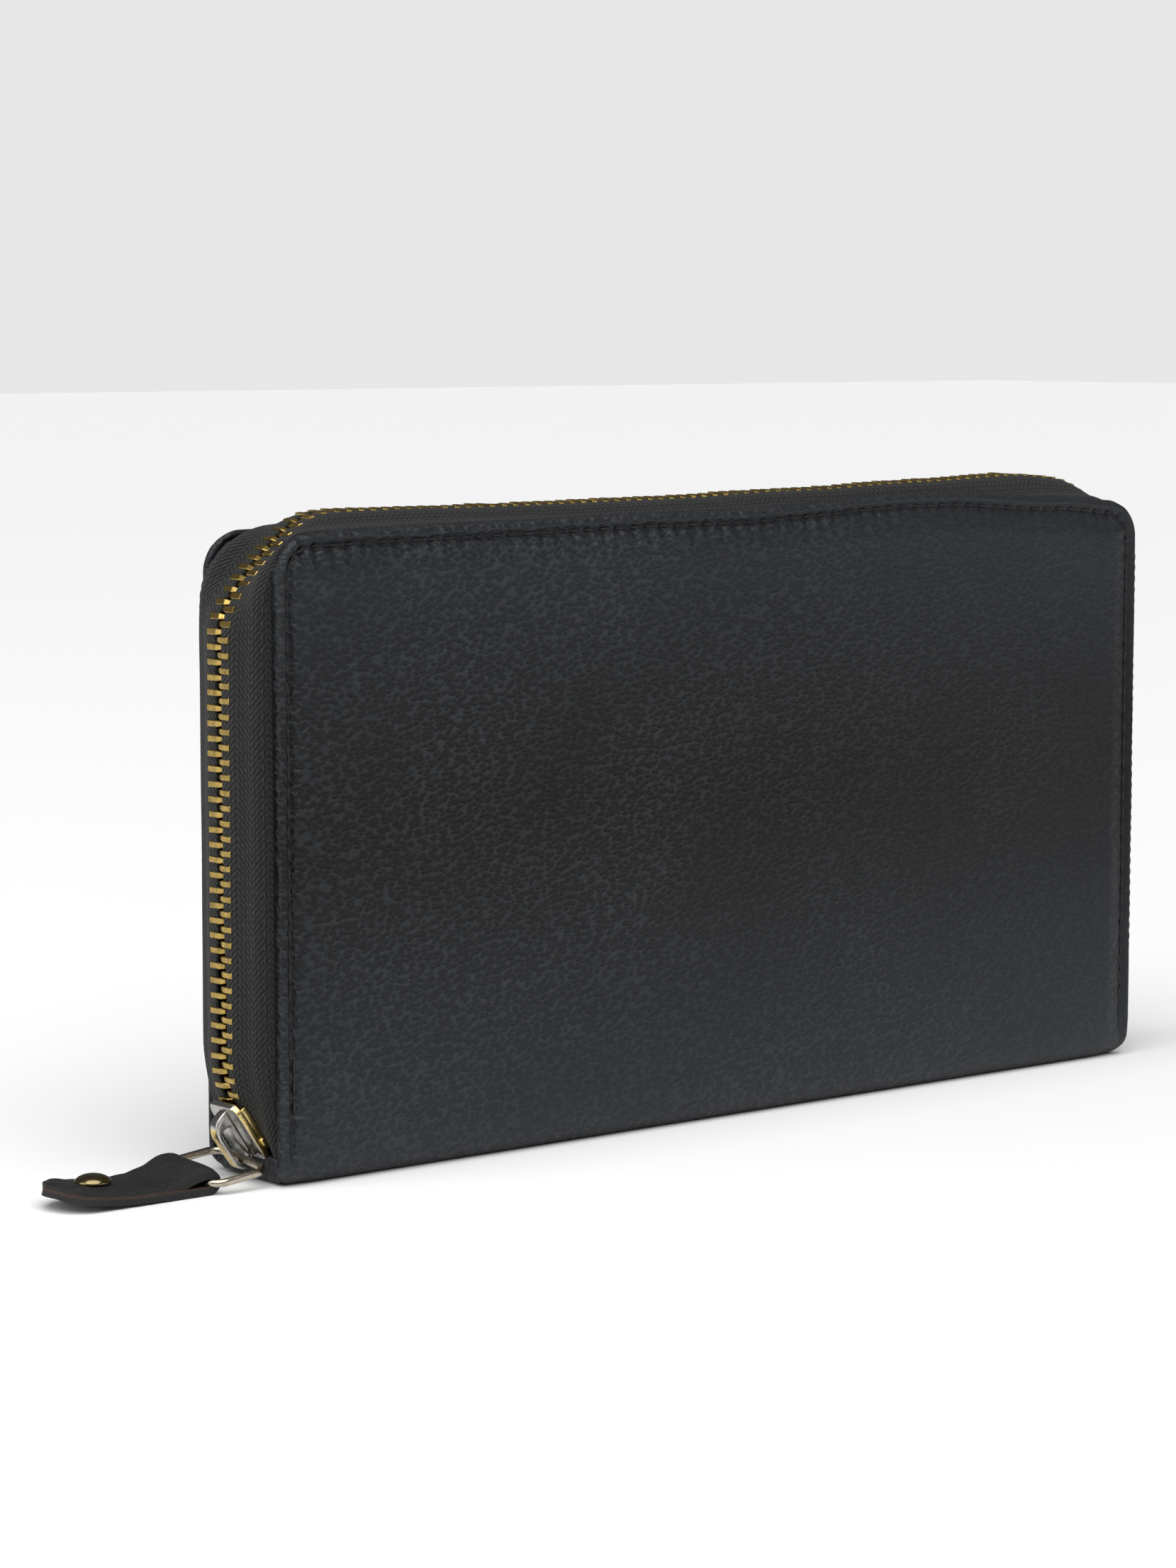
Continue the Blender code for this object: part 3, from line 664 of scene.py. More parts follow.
def topRise(x):
    # the chain sits a little lower at the left of the top and higher at the right
    return marked(topRiseMarks, x)


def chainSizes():
    c = chain
    end = c["endRadius"] * math.radians(c["endAngle"])
    rise = c["height"] - c["corner"] - c["endHeight"]
    bend = c["corner"] * math.pi / 2
    top = 2 * (c["halfWidth"] - c["corner"])
    return end, rise, bend, 2 * (end + rise + bend) + top


def chainPlace(s):
    # x and z, outward way, and how far the rows part there
    c = chain
    end, rise, bend, whole = chainSizes()
    if s > whole / 2:
        (x, z), (outX, outZ), parting = chainPlace(whole - s)
        return (-x, z), (-outX, outZ), 0.0
    if s < end:
        angle = c["endAngle"] - math.degrees(s / c["endRadius"])
        parting = c["parting"] * min(max((angle - c["sliderAngle"]) / c["partingSpan"], 0.0), 1.0)
        return (*endPlace(angle), parting)
    s -= end
    if s < rise:
        return (-c["halfWidth"], c["endHeight"] + s), (-1.0, 0.0), 0.0
    s -= rise
    if s < bend:
        turn = s / c["corner"]
        out = (-math.cos(turn), math.sin(turn))
        x = -c["halfWidth"] + c["corner"] + c["corner"] * out[0]
        return (x, c["height"] - c["corner"] + c["corner"] * out[1]), out, 0.0
    return (-c["halfWidth"] + c["corner"] + s - bend, c["height"]), (0.0, 1.0), 0.0


def edgePlace(s):
    # the way beside the cover's own edge, which turns tighter than the teeth
    c, w = chain, wallet
    side, top = w["halfWidth"] + c["sideReach"], w["height"] + c["topReach"]
    end, rise, bend, whole = chainSizes()
    if s > whole / 2:
        (x, z), (outX, outZ) = edgePlace(whole - s)
        return (-x, z), (-outX, outZ)
    if s < end:
        share = 1 - s / end
        turn = c["edgeTurn"] * share
        x = -side + c["edgeIn"] * share**1.5
        return (x, c["endHeight"] - c["edgeDrop"] * share), (-math.cos(turn), -math.sin(turn))
    if s < end + rise:
        return (-side, c["endHeight"] + s - end), (-1.0, 0.0)
    if s > end + rise + bend:
        return (chainPlace(s)[0][0], top), (0.0, 1.0)
    tight = w["corner"] + c["edgeRound"]
    centre = (-(w["halfWidth"] - tight), w["height"] - tight)
    wide, high = side + centre[0], top - centre[1]
    first = centre[1] - (c["height"] - c["corner"])
    last = centre[0] * -1 - (c["halfWidth"] - c["corner"])
    arcLength = (wide + high) / 2 * math.pi / 2
    d = (s - end - rise) / bend * (first + arcLength + last)
    if d < first:
        return (-side, c["height"] - c["corner"] + d), (-1.0, 0.0)
    if d < first + arcLength:
        turn = (d - first) / arcLength * math.pi / 2
        out = (-math.cos(turn), math.sin(turn))
        return (centre[0] + wide * out[0], centre[1] + high * out[1]), out
    return (centre[0] + d - first - arcLength, top), (0.0, 1.0)


def chainFrame(s):
    (x, z), (outX, outZ), parting = chainPlace(s)
    out = Vector((outX, 0.0, outZ))
    along = Vector((0.0, 1.0, 0.0)).cross(out)
    lift = Vector((0.0, 0.0, topRise(x) * smooth(0.2, 0.9, outZ)))
    if outZ > 0:
        lift -= out * chain["cornerCut" if x < 0 else "rightCornerCut"] * (2 * outX * outZ) ** 2
    return Vector((x, 0.0, z)), out, along, lift, parting


tapeLook = dict(
    close=0.65,
    closeFrom=30.0,
    closeTo=45.0,
    edge=1.5,
    flatTo=6.9,
    bend=2.15,
    margin=5.0,
    thickness=0.5,
    columns=280,
    rows=24,
    wave=0.25,
    ledge=0.35,
)


def tapeSection(t):
    # outward and depth, from the beaded edge round to the sewn margin
    look = tapeLook
    flat = look["flatTo"] - look["edge"]
    arcLength = look["bend"] * math.pi / 2
    if t < flat:
        return 0.0, look["edge"] + t
    if t < flat + arcLength:
        turn = (t - flat) / look["bend"]
        return -look["bend"] * (1 - math.cos(turn)), look["flatTo"] + look["bend"] * math.sin(turn)
    return -look["bend"] - (t - flat - arcLength), look["flatTo"] + look["bend"]


def tapeWidth():
    look = tapeLook
    return look["flatTo"] - look["edge"] + look["bend"] * math.pi / 2 + look["margin"]


def tapePoint(s, t, face, proud=0.0):
    look = tapeLook
    spot, out, _, lift, parting = chainFrame(s)
    (edgeX, edgeZ), (edgeOutX, edgeOutZ) = edgePlace(s)
    outward, depth = tapeSection(t)
    share = smooth(2.8, 7.2, depth)
    pastSlider = smooth(look["closeFrom"], look["closeTo"], s)
    depth -= look["close"] * pastSlider * smooth(4.5, look["edge"], depth)
    spot = spot.lerp(Vector((edgeX, 0.0, edgeZ)), share)
    out = out.lerp(Vector((edgeOutX, 0.0, edgeOutZ)), share).normalized()
    free = math.sin(min(t / (tapeWidth() - look["margin"]), 1.0) * math.pi)
    outward += look["wave"] * free * waver(s / 16.0, t / 9.0, face * 7.0)
    outward += look["ledge"] * smooth(6.0, 3.0, depth)
    turn = min(max((t - look["flatTo"] + look["edge"]) / look["bend"], 0.0), math.pi / 2)
    lift = lift * smooth(-look["bend"], 0.0, outward) * mix(1.0, 0.3, share)
    place = spot + out * (outward + proud * math.cos(turn)) + lift
    place.y = face * (depth + proud * math.sin(turn) + parting * smooth(9.0, 2.0, depth))
    return place


def zipNodes(name, kind):
    return [f"{name}_zip_{kind}{end}" for end in ("", "_end_left", "_end_right")]


def foldWith(made):
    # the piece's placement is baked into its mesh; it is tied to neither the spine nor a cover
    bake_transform(made)


def zipTape(name, face):
    look = tapeLook
    whole = chainSizes()[3]

    def shape(u, v):
        s, t = u * whole, v * tapeWidth()
        return tapePoint(s, t, face), (s, t)

    mesh = shapedGrid(look["columns"], look["rows"], shape, wantUv=True)
    facedOut(mesh)
    made = keep(name + "ZipTape", mesh, ["tape"], zipNodes(name, "tape"))
    thicken(made, look["thickness"])
    foldWith(made)


toothLook = dict(
    long=1.06,
    back=3.05,
    front=0.62,
    tip=-0.62,
    thick=2.5,
    headLong=0.8,
    headThick=1.6,
    bevel=0.12,
    sink=0.45,
    first=0.9,
    sway=0.16,
    twist=0.05,
)


def toothShape():
    look = toothLook
    mesh = bmesh.new()
    bmesh.ops.create_cube(mesh, size=1.0)
    size = (look["long"], look["back"] - look["front"], look["thick"])
    bmesh.ops.scale(mesh, vec=size, verts=mesh.verts)
    bmesh.ops.translate(mesh, vec=(0, (look["back"] + look["front"]) / 2, 0), verts=mesh.verts)
    front = min(mesh.faces, key=lambda f: f.calc_center_median().y)
    neck = bmesh.ops.extrude_discrete_faces(mesh, faces=[front])["faces"][0]
    bmesh.ops.translate(mesh, vec=(0, look["tip"] - look["front"], 0), verts=neck.verts)
    narrow = Matrix.Diagonal((look["headLong"] / look["long"], 1.0, look["headThick"] / look["thick"], 1.0))
    bmesh.ops.transform(mesh, matrix=narrow, verts=neck.verts)
    bevelled(mesh, mesh.edges[:], look["bevel"], 1)
    shape = bpy.data.meshes.new("tooth")
    mesh.to_mesh(shape)
    mesh.free()
    return shape


def addShape(mesh, shape, place):
    before = len(mesh.verts)
    mesh.from_mesh(shape)
    mesh.verts.ensure_lookup_table()
    bmesh.ops.transform(mesh, matrix=place, verts=mesh.verts[before:])


def zipTeeth(name, face, tooth):
    look = toothLook
    whole = chainSizes()[3]
    pitch = chain["pitch"]
    mesh = bmesh.new()
    first = look["first"] if face < 0 else look["first"] + pitch / 2
    for i in range(int((whole - 1.6 - first) / pitch) + 1):
        spot, out, along, lift, parting = chainFrame(first + i * pitch)
        sway = look["sway"] * waver(i * 0.83, face * 3.0, 0.5)
        tip = Matrix.Rotation(look["twist"] * waver(i * 0.61, face * 5.0, 4.5), 4, "Z")
        across = Vector((0.0, face, 0.0))
        frame4 = Matrix((along, across, out)).transposed().to_4x4()
        shift = spot + lift + across * parting + out * (sway - look["sink"])
        addShape(mesh, tooth, Matrix.Translation(shift) @ frame4 @ tip)
    facedOut(mesh)
    made = keep(name + "ZipTeeth", mesh, ["brass"], zipNodes(name, "teeth"))
    made.data.shade_flat()
    foldWith(made)


def tapeStitches(name, face):
    # a fine row sewn through the tape beside the cover's edge
    look = dict(pitch=2.1, length=1.5, radius=0.17, turn=1.0, proud=0.28)
    mesh = bmesh.new()
    t = tapeLook["flatTo"] - tapeLook["edge"] + tapeLook["bend"] * look["turn"]
    for i in range(int(chainSizes()[3] / look["pitch"])):
        first = i * look["pitch"]
        ends = [tapePoint(s, t, face, look["proud"]) for s in (first, first + look["length"])]
        capsule(mesh, lineUp(*ends), look["radius"], look["length"], 4)
    made = keep(name + "TapeStitches", mesh, ["thread"])
    foldWith(made)


tooth = toothShape()
for name, face in sides:
    body = name + "_cover"
    zipTape(name, face)
    zipTeeth(name, face, tooth)
    tapeStitches(name, face)
print("zip tape and teeth made")


# ---- pieces that keep their solid's shape, merged and with their edges softened
def copyOf(node):
    mesh = bmesh.new()
    mesh.from_mesh(frame["nodes"][node].data)
    bmesh.ops.remove_doubles(mesh, verts=mesh.verts, dist=1e-6)
    bmesh.ops.dissolve_limit(mesh, angle_limit=0.02, verts=mesh.verts, edges=mesh.edges)
    bmesh.ops.scale(mesh, vec=(1 / mm, 1 / mm, 1 / mm), verts=mesh.verts)
    return mesh


def softenEdges(mesh, offset, segments=2):
    sharp = [e for e in mesh.edges if e.is_manifold and e.calc_face_angle() > 0.4]
    bevelled(mesh, sharp, offset, segments)


def refined(node, name, finish, body, offset=0.15, segments=2):
    mesh = copyOf(node)
    softenEdges(mesh, offset, segments)
    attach(keep(name, mesh, [finish], (node,)), body)


def slicedUp(mesh, axis, low, high, steps):
    way = Vector((0, 0, 0))
    way[axis] = 1.0
    for i in range(1, steps):
        geom = mesh.verts[:] + mesh.edges[:] + mesh.faces[:]
        bmesh.ops.bisect_plane(mesh, geom=geom, plane_co=way * mix(low, high, i / steps), plane_no=way)


def ripple(mesh, amount, size, seed):
    for vert in mesh.verts:
        vert.co.y += amount * waver(vert.co.x / size, vert.co.z / size, seed)


def clothPanel(node, name, finish, body, offset=0.12, amount=0.12, seed=1.0):
    mesh = copyOf(node)
    softenEdges(mesh, offset, 1)
    low, high = nodeBox(node)
    slicedUp(mesh, 0, low.x, high.x, 24)
    slicedUp(mesh, 2, low.z, high.z, 12)
    ripple(mesh, amount, 22.0, seed)
    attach(keep(name, mesh, [finish], (node,)), body)


for side in ("front", "back"):
    refined(side + "_top_stop", side + "TopStop", "brass", "spine", 0.25)
refined("bottom_stop", "bottomStop", "brass", "spine", 0.3)
clothPanel("spine_lining", "spineLining", "cloth", "spine", 0.12, 0.0, 2.0)
print("stops made")


# ---- inside: linings, card slots, coin pocket and gussets
def seamRow(mesh, start, end, pitch, length, radius):
    run = end - start
    count = int(run.length / pitch)
    way = run.normalized()
    for i in range(count):
        first = start + way * (i * pitch)
        capsule(mesh, lineUp(first, first + way * length), radius, length + 0.1, 4)


def cardStrip(name, node, face, body, number):
    low, high = nodeBox(node)
    look = dict(rows=14, columns=60, notch=9.0, notchDepth=1.75, thickness=0.4, seamDrop=1.4, seamInset=2)
    outer = -low.y if face < 0 else high.y
    inner = -high.y if face < 0 else low.y

    def shape(u, v):
        x = mix(low.x, high.x, u)
        top = high.z
        for middle in (-43.0, 43.0):  # a thumb notch in the middle of each slot
            off = (x - middle) / look["notch"]
            if abs(off) < 1:
                top -= look["notchDepth"] * (1 - off * off) ** 1.5
        z = mix(low.z, top, v)
        lean = (z - low.z) / (high.z - low.z)
        depth = mix(outer - look["thickness"] / 2, inner + look["thickness"] / 2, lean)
        depth += 0.05 * waver(x / 20.0, z / 14.0, number + face)
        return Vector((x, face * depth, z)), (x, z)

    mesh = shapedGrid(look["columns"], look["rows"], shape)
    facedOut(mesh)
    made = keep(name, mesh, ["smooth"], (node,))
    thicken(made, look["thickness"])
    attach(made, body)
    seam = bmesh.new()
    lean = (high.z - low.z - look["seamDrop"]) / (high.z - low.z)
    y = face * (mix(outer - look["thickness"], inner, lean) - 0.02)
    z = high.z - look["seamDrop"] - look["seamDrop"]
    start, end = Vector((low.x + look["seamInset"], y, z)), Vector((high.x - look["seamInset"], y, z))
    seamRow(seam, start, end, 2.6, 1.8, 0.1)
    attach(keep(name + "Seam", seam, ["thread"]), body)


for side, face in sides:
    body = side + "_cover"
    clothPanel(side + "_cover_lining", side + "Lining", "cloth", body, 0.15, 0.0, face)
    for number in range(1, 5):
        cardStrip(f"{side}CardSlot{number}", f"{side}_card_slot_{number}", face, body, number)
    for part in frame["nodes"][side + "_cover_board"].material_slots:
        part.material = finishes["board"]


def gussetPiece(side, where):
    node = f"{side}_gusset_{where}"
    mesh = copyOf(node)
    low, high = nodeBox(node)
    slicedUp(mesh, 2, low.z, high.z, 16)
    slicedUp(mesh, 1, low.y, high.y, 6)
    facedOut(mesh)
    made = keep(f"{side}Gusset{where.title()}", mesh, ["cloth"], (node,))
    made.data.shade_flat()
    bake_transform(made)


for side, face in sides:
    for where in ("left", "right"):
        gussetPiece(side, where)

clothPanel("coin_pocket_front", "coinPocketFront", "cloth", "spine", 0.12, 0.06, 3.0)
clothPanel("coin_pocket_back", "coinPocketBack", "cloth", "spine", 0.12, 0.06, 4.0)
refined("coin_pocket_binding", "coinPocketBinding", "smooth", "spine", 0.6, 3)
clothPanel("coin_tape_lower", "coinTapeLower", "plainTape", "spine", 0.1, 0.0, 5.0)
clothPanel("coin_tape_upper", "coinTapeUpper", "plainTape", "spine", 0.1, 0.0, 6.0)


def coinTeeth(name, node, way):
    look = dict(pitch=1.6, first=0.8, height=92.1, scale=(0.62, 0.5, 0.48, 1.0))
    low, high = nodeBox(node)
    mesh = bmesh.new()
    pitch = look["pitch"]
    shift = 0.0 if way < 0 else pitch / 2
    turn = Matrix(((1, 0, 0), (0, 0, -1), (0, way, 0))).to_4x4()
    for i in range(int((high.x - low.x) / pitch)):
        spot = Vector((low.x + look["first"] + shift + i * pitch, (low.y + high.y) / 2, look["height"]))
        addShape(mesh, tooth, Matrix.Translation(spot) @ turn @ Matrix.Diagonal(look["scale"]))
    facedOut(mesh)
    made = keep(name, mesh, ["brass"], (node,))
    made.data.shade_flat()
    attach(made, "spine")


coinTeeth("coinTeethLower", "coin_teeth_lower", -1)
coinTeeth("coinTeethUpper", "coin_teeth_upper", 1)
refined("coin_slider", "coinSliderBody", "brass", "coin_slider", 0.15)
refined("coin_pull", "coinPullTab", "brass", "coin_pull", 0.12)
print("inside made")


# ---- main slider, in its own axes: X to the closed chain, Y across, Z outwards
def sliderPlace():
    (x, z), (outX, outZ) = endPlace(chain["sliderAngle"])
    out = Vector((outX, 0.0, outZ))
    across = Vector((0.0, 1.0, 0.0))
    turn = Matrix((across.cross(out), across, out)).transposed().to_4x4()
    return Matrix.Translation((x, 0.0, z)) @ turn


sliderLook = dict(
    channel=1.5,
    plate=1.25,
    outline=((6.5, 3.0), (5.3, 3.95), (-2.6, 4.85), (-5.2, 4.3), (-6.5, 2.3)),
    flange=((5.4, 3.9), (-2.8, 4.75), (-2.8, 4.05), (5.4, 3.2)),
    bridge=((-5.5, 2.6), (5.6, 2.6), (5.3, 6.7), (-5.0, 6.2)),
    bridgeRound=(0.3, 0.3, 3.2, 1.9),
    eye=((-4.5, 3.1), (2.9, 3.1), (3.1, 5.55), (-4.1, 5.15)),
    eyeRound=(0.95, 0.95, 1.2, 0.85),
    bridgeHalf=1.0,
    post=((-2.6, 0.5), (-4.2, 1.4), (-5.6, 1.4), (-5.9, 0.7)),
    lug=((-0.6, 4.2), (-2.0, 4.3), (-2.0, 5.2), (-0.6, 5.1)),
)


def flatFace(mesh, points):
    return mesh.faces.new([mesh.verts.new((*point, 0.0)) for point in points])


def vertsOf(geom):
    return [item for item in geom if isinstance(item, bmesh.types.BMVert)]


def raised(mesh, faces, height):
    made = bmesh.ops.extrude_face_region(mesh, geom=faces)["geom"]
    bmesh.ops.translate(mesh, vec=(0, 0, height), verts=vertsOf(made))


def roundCorners(mesh, verts, radii, segments):
    for vert, radius in zip(verts, radii):
        bevelled(mesh, [vert], radius, segments, "VERTICES")


def block(points, low, high, edge=0.2, segments=2, corner=0.0):
    mesh = bmesh.new()
    face = flatFace(mesh, points)
    if corner:
        roundCorners(mesh, list(face.verts), [corner] * len(points), 3)
    raised(mesh, mesh.faces[:], high - low)
    bmesh.ops.translate(mesh, vec=(0, 0, low), verts=mesh.verts)
    facedOut(mesh)
    softenEdges(mesh, edge, segments)
    return mesh


def joined(meshes):
    whole = bmesh.new()
    for part in meshes:
        shape = bpy.data.meshes.new("part")
        part.to_mesh(shape)
        part.free()
        whole.from_mesh(shape)
    return whole


def bothSides(points):
    return [*points, *((a, -w) for a, w in reversed(points))]


def inGilt(mesh, faces):
    for face in faces:
        face.material_index = 1
    return mesh


def sliderBody():
    look = sliderLook
    outline = bothSides(look["outline"])
    low, high = look["channel"], look["channel"] + look["plate"]
    outer = block(outline, low, high, 0.22, 3, 0.5)
    # the plate's bright edge shows brass
    inGilt(outer, [f for f in outer.faces if abs(f.normal.y) > 0.55 and abs(f.normal.z) < 0.6])
    parts = [outer, block(outline, -high, -low, 0.25, 2, 0.5)]
    parts.append(block(bothSides(look["post"]), -low, low, 0.1, 1))
    for side in (-1, 1):
        rim = [(a, side * w) for a, w in look["flange"]]
        for bottom, top in ((0.6, low + 0.3), (-low - 0.3, -0.6)):
            part = block(rim, bottom, top, 0.12, 2)
            parts.append(inGilt(part, part.faces))
        lug = block([(a, side * w) for a, w in look["lug"]], 1.0, 1.9, 0.2, 2)
        parts.append(inGilt(lug, lug.faces))
    mesh = joined(parts)
    facedOut(mesh)
    turned(mesh, sliderPlace())
    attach(keep("sliderPlates", mesh, ["nickel", "gilt"], ("slider_body",)), "slider")


def sliderBridge():
    look = sliderLook
    mesh = bmesh.new()
    outer = flatFace(mesh, look["bridge"])
    roundCorners(mesh, list(outer.verts), look["bridgeRound"], 7)
    outerEdges = mesh.edges[:]
    inner = flatFace(mesh, look["eye"])
    roundCorners(mesh, list(inner.verts), look["eyeRound"], 7)
    innerEdges = [e for e in mesh.edges if e not in outerEdges]
    bmesh.ops.delete(mesh, geom=mesh.faces[:], context="FACES_ONLY")
    bmesh.ops.bridge_loops(mesh, edges=outerEdges + innerEdges)
    raised(mesh, mesh.faces[:], 2 * look["bridgeHalf"])
    bmesh.ops.translate(mesh, vec=(0, 0, -look["bridgeHalf"]), verts=mesh.verts)
    facedOut(mesh)
    rims = [e for e in mesh.edges if e.is_manifold and e.calc_face_angle() > 1.2]
    bevelled(mesh, rims, 0.32, 3)
    # the fin's top edge shows brass
    inGilt(mesh, [f for f in mesh.faces if abs(f.normal.z) < 0.5 and f.calc_center_median().y > 5.9])
    # the outline's second axis stands out of the plate
    upright = Matrix(((1, 0, 0), (0, 0, 1), (0, 1, 0))).to_4x4()
    turned(mesh, sliderPlace() @ upright)
    facedOut(mesh)
    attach(keep("sliderBridgeFin", mesh, ["nickel", "gilt"], ("slider_bridge",)), "slider")


sliderBody()
sliderBridge()
print("slider made")


# ---- rounded leather ends of the spine
def spineEnd(name, side):
    look = dict(halfDepth=9.4, low=0.5, high=4.6, inner=96.4, outer=98.9, corner=1.9)
    half = look["halfDepth"]
    points = [(-half, look["low"]), (half, look["low"]), (half, look["high"]), (-half, look["high"])]
    mesh = block(points, look["inner"], look["outer"], 0.7, 3, look["corner"])
    turn = Matrix(((0, 0, side), (1, 0, 0), (0, 1, 0))).to_4x4()
    turned(mesh, turn)
    facedOut(mesh)
    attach(keep(name, mesh, ["leather"]), "spine")


spineEnd("spineEndLeft", -1)
spineEnd("spineEndRight", 1)


# ---- pull: ring, strap and rivet
pullLook = dict(
    wire=0.68,
    slack=0.12,
    width=14.2,
    corner=2.6,
    roll=6.0,
    offset=-0.6,
    barDrop=0.5,
    strapHalf=6.1,
    layer=1.5,
    tip=-138.2,
    loopFrom=-119.5,
    restLow=1.6,
    tipRise=1.9,
    riseFrom=-122.0,
    strapRoll=5.0,
)
ringPivot = jointPlace("ring_swing")
strapBar = jointPlace("strap_swing") - Vector((0, 0, pullLook["barDrop"]))


def pullRing():
    look = pullLook
    length = math.hypot(ringPivot.x - strapBar.x, ringPivot.z - strapBar.z)
    mesh = bmesh.new()
    bmesh.ops.create_circle(mesh, segments=14, radius=look["wire"], cap_ends=False)
    corner = look["corner"]
    spot, heading = Vector((-corner, look["width"] / 2, 0)), Vector((-1, 0, 0))
    turned(mesh, Matrix.Translation(spot) @ Matrix.Rotation(math.pi / 2, 4, "Y"))
    verts, edges = mesh.verts[:], mesh.edges[:]
    for run in (length - 2 * corner, look["width"] - 2 * corner) * 2:
        grown = bmesh.ops.extrude_edge_only(mesh, edges=edges)["geom"]
        verts = vertsOf(grown)
        edges = [g for g in grown if isinstance(g, bmesh.types.BMEdge) and all(v in verts for v in g.verts)]
        bmesh.ops.translate(mesh, vec=heading * run, verts=verts)
        spot += heading * run
        left = Vector((-heading.y, heading.x, 0))
        last = bmesh.ops.spin(
            mesh, geom=verts + edges, cent=spot + left * corner, axis=(0, 0, 1), angle=math.pi / 2, steps=7,
            use_merge=False, use_duplicate=False)["geom_last"]
        verts = vertsOf(last)
        edges = [g for g in last if isinstance(g, bmesh.types.BMEdge)]
        spot += left * corner + heading * corner
        heading = left
    bmesh.ops.remove_doubles(mesh, verts=mesh.verts, dist=0.01)
    slope = math.atan2(ringPivot.z - strapBar.z, ringPivot.x - strapBar.x)
    place = Matrix.Translation((ringPivot.x, look["offset"], ringPivot.z)) @ Matrix.Rotation(-slope, 4, "Y")
    place = place @ Matrix.Rotation(math.radians(look["roll"]), 4, "X")
    turned(mesh, place)
    facedOut(mesh)
    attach(keep("pullRingWire", mesh, ["wire"], ("pull_ring",)), "pull_ring")


def strapMiddle(x):
    # height of the plane where the strap's two layers meet
    look = pullLook
    toTip = min(max((look["riseFrom"] - x) / (look["riseFrom"] - look["tip"]), 0.0), 1.0)
    return look["restLow"] + look["tipRise"] * toTip * toTip


def strapRadius():
    return pullLook["layer"] / 2 + pullLook["wire"] + pullLook["slack"]


def strapBand(p):
    # x and z along the middle of the leather, from the lower tip round the bar to the upper tip
    look = pullLook
    radius = strapRadius()
    run = strapBar.x - look["tip"]
    loop = radius * math.pi
    upper = p > run + loop
    if run < p <= run + loop:
        turn = (p - run) / radius
        return strapBar.x + radius * math.sin(turn), strapBar.z - radius * math.cos(turn)
    x = look["tip"] + (p if not upper else 2 * run + loop - p)
    sign = 1 if upper else -1
    apart = smooth(look["loopFrom"], strapBar.x, x)
    flat = strapMiddle(x) + sign * (look["layer"] / 2 - 0.08)
    return x, mix(flat, strapBar.z + sign * radius, apart)


def pullStrap():
    look = pullLook
    run = strapBar.x - look["tip"]
    whole = 2 * run + strapRadius() * math.pi
    half = look["strapHalf"]

    def shape(u, v):
        y = -half * math.cos(math.pi * u)  # even steps round the two rounded tips
        first = half * (1 - math.sin(math.pi * u))
        p = mix(first, whole - first, v)
        x, z = strapBand(p)
        inside = min(half - abs(y), min(p, whole - p) - first) / half
        lifted = smooth(-124.0, -112.0, x)
        roll = math.tan(math.radians(look["strapRoll"])) * lifted
        outward = 1 if p > whole / 2 else -1
        z += y * roll + 0.12 * lifted
        z += outward * 0.2 * waver(x / 2.6, y / 6.0, outward * 3.0)
        tip = smooth(5.0, 0.5, min(p, whole - p))
        droop = mix(0.28, 0.6, tip) * (1 - smooth(0.0, mix(0.2, 0.35, tip), inside))
        z -= droop if outward > 0 else -droop * 0.6
        x += 0.25 * waver(y / 4.0, p / 9.0, 2.0)
        return Vector((x, look["offset"] + y, z)), (p, y)

    mesh = shapedGrid(24, 150, shape)
    facedOut(mesh)
    top = max(mesh.faces, key=lambda f: f.calc_center_median().z)
    if top.normal.z < 0:
        bmesh.ops.reverse_faces(mesh, faces=mesh.faces)
    made = keep("pullStrapLeather", mesh, ["strap", "raw"], ("pull_strap",))
    solid = thicken(made, look["layer"])
    solid.material_offset = solid.material_offset_rim = 1
    bevel = made.modifiers.new("edges", "BEVEL")
    bevel.width = 0.22 * mm
    bevel.segments = 2
    bevel.limit_method = "ANGLE"
    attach(made, "pull_strap")


def rivetCap():
    look = dict(
        profile=((0.0, 1.7), (1.3, 1.6), (2.3, 1.25), (2.85, 0.8), (3.1, 0.4), (2.95, 0.1), (2.2, -0.1)),
        steps=32)
    low, high = nodeBox("rivet_cap")
    x, y = (low.x + high.x) / 2, (low.y + high.y) / 2
    floor = strapMiddle(x) + pullLook["layer"] - 0.05
    mesh = bmesh.new()
    line = [mesh.verts.new((x + r, y, floor + z)) for r, z in look["profile"]]
    edges = [mesh.edges.new(pair) for pair in zip(line, line[1:])]
    bmesh.ops.spin(
        mesh, geom=line + edges, cent=(x, y, 0), axis=(0, 0, 1), angle=math.tau, steps=look["steps"],
        use_merge=True)
    bmesh.ops.remove_doubles(mesh, verts=mesh.verts, dist=0.001)
    bmesh.ops.holes_fill(mesh, edges=[e for e in mesh.edges if e.is_boundary], sides=0)
    facedOut(mesh)
    made = keep("rivetCapDome", mesh, ["rivet"], ("rivet_cap",))
    smoothing = made.modifiers.new("smooth", "SUBSURF")
    smoothing.levels = smoothing.render_levels = 1
    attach(made, "pull_strap")


pullRing()
pullStrap()
rivetCap()
refined("rivet_back", "rivetDisc", "rivet", "pull_strap", 0.15)
print("pull made")


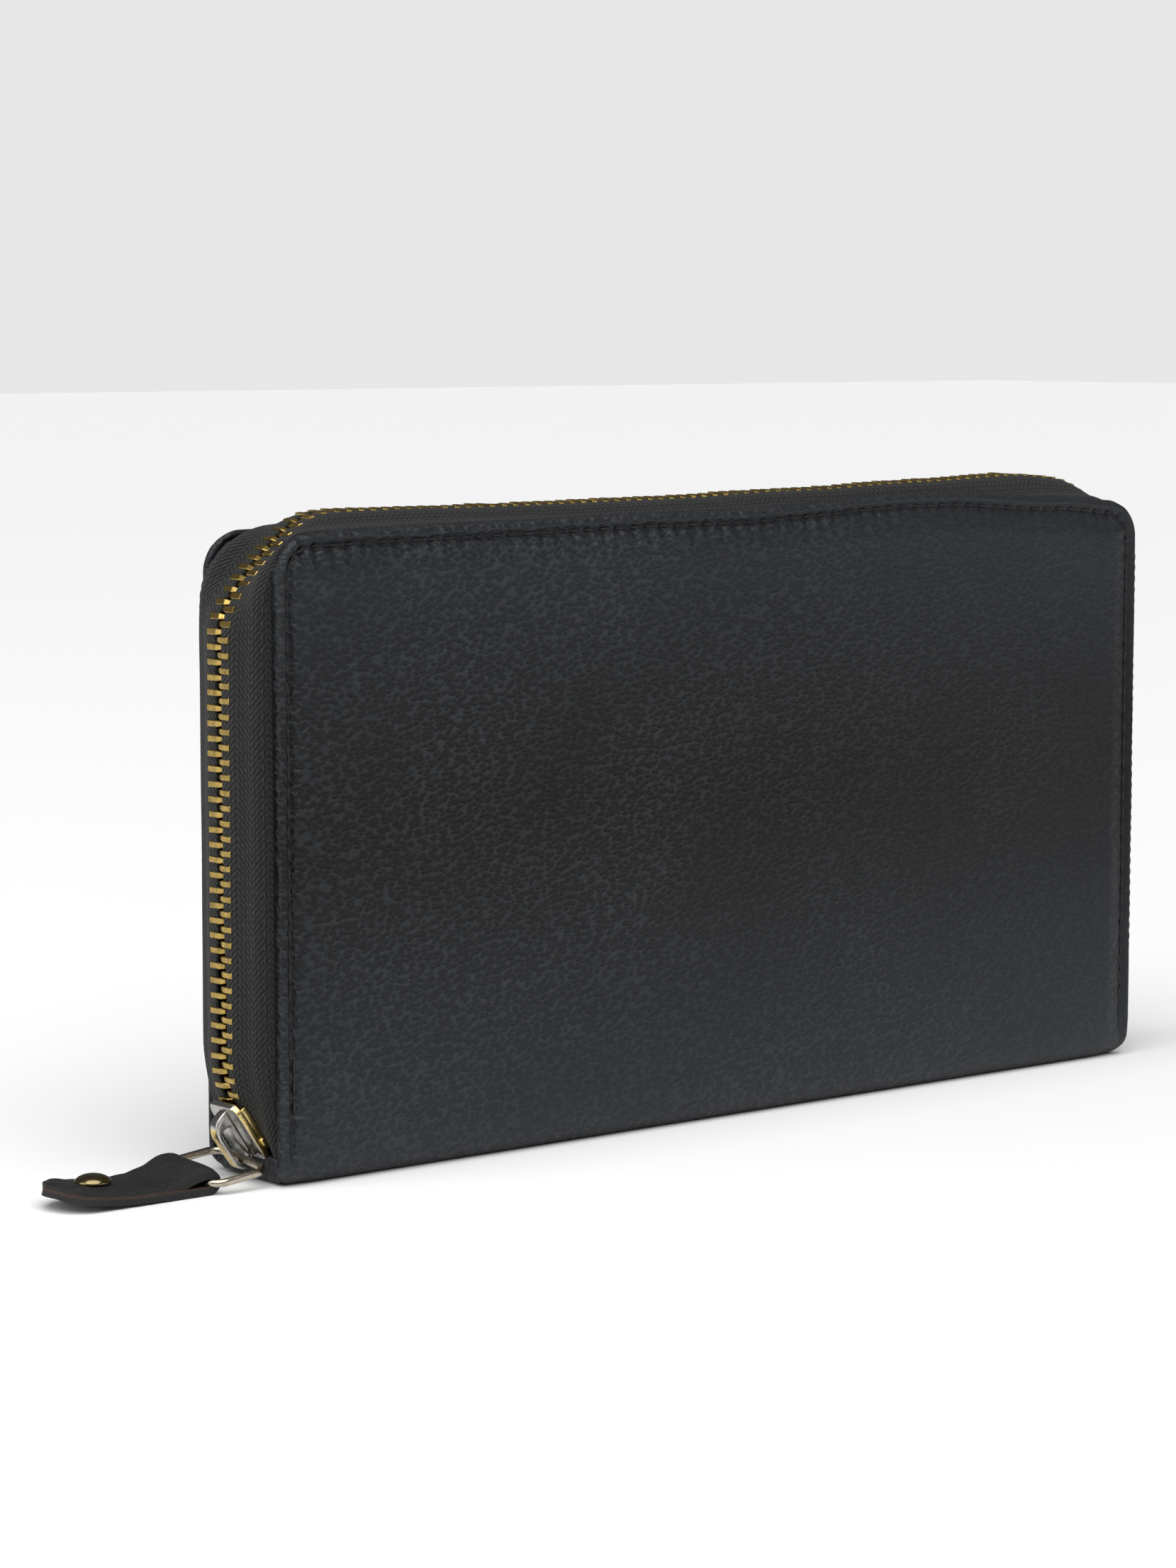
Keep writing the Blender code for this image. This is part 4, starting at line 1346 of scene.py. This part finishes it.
# ---- camera, floor and light
def studio():
    scene = bpy.context.scene
    scene.view_settings.view_transform = "Standard"
    view = dict(place=(-481.8, -558.7, 142.4), turn=39.18, down=6.46, focal=5841.0, longSide=2212.0)
    light = dict(room=0.12, wall=1.0, sky=3.4, skySpread=70, skyTurn=(24, -16, 0), aim=(0, 0, 0.05))
    lens = bpy.data.cameras.new("camera")
    lens.sensor_width = 36.0
    lens.lens = view["focal"] / view["longSide"] * lens.sensor_width
    lens.clip_start, lens.clip_end = 0.01, 50.0
    camera = inScene("camera", lens)
    camera.location = Vector(view["place"]) * mm
    camera.rotation_euler = (math.radians(90 - view["down"]), 0.0, math.radians(-view["turn"]))
    scene.camera = camera
    floorMesh = bmesh.new()
    bmesh.ops.create_grid(floorMesh, x_segments=1, y_segments=1, size=6.0)
    floorData = bpy.data.meshes.new("floor")
    floorMesh.to_mesh(floorData)
    floorMesh.free()
    paper = Finish("palePaper", Base_Color=(0.86, 0.86, 0.86), Roughness=0.9, Specular_IOR_Level=0.1)
    floorData.materials.append(paper.material)
    inScene("floor", floorData)
    world = bpy.data.worlds.new("studio")
    world.use_nodes = True
    nodes, links = world.node_tree.nodes, world.node_tree.links
    room = nodes["Background"]
    room.inputs["Color"].default_value = (1.0, 1.0, 1.0, 1.0)
    room.inputs["Strength"].default_value = light["room"]
    paperWall = nodes.new("ShaderNodeBackground")
    paperWall.inputs["Strength"].default_value = light["wall"]
    either, path = nodes.new("ShaderNodeMixShader"), nodes.new("ShaderNodeLightPath")
    links.new(path.outputs["Is Camera Ray"], either.inputs[0])
    links.new(room.outputs[0], either.inputs[1])
    links.new(paperWall.outputs[0], either.inputs[2])
    links.new(either.outputs[0], nodes["World Output"].inputs["Surface"])
    scene.world = world
    sky = bpy.data.lights.new("sky", "SUN")
    sky.energy, sky.angle = light["sky"], math.radians(light["skySpread"])
    inScene("sky", sky).rotation_euler = [math.radians(angle) for angle in light["skyTurn"]]
    lamps = dict(
        left=((-1.3, 0.2, 0.55), 0.9, 7.0),
        front=((0.75, -1.2, 0.3), 0.5, 1.0),
        low=((0.0, -0.4, 0.02), 0.12, 0.05),
    )
    for name, (place, size, power) in lamps.items():
        glow = bpy.data.lights.new(name, "AREA")
        glow.size = size
        glow.energy = power
        lamp = inScene(name, glow)
        lamp.location = place
        lamp.rotation_euler = (Vector(light["aim"]) - Vector(place)).to_track_quat("-Z", "Y").to_euler()


studio()
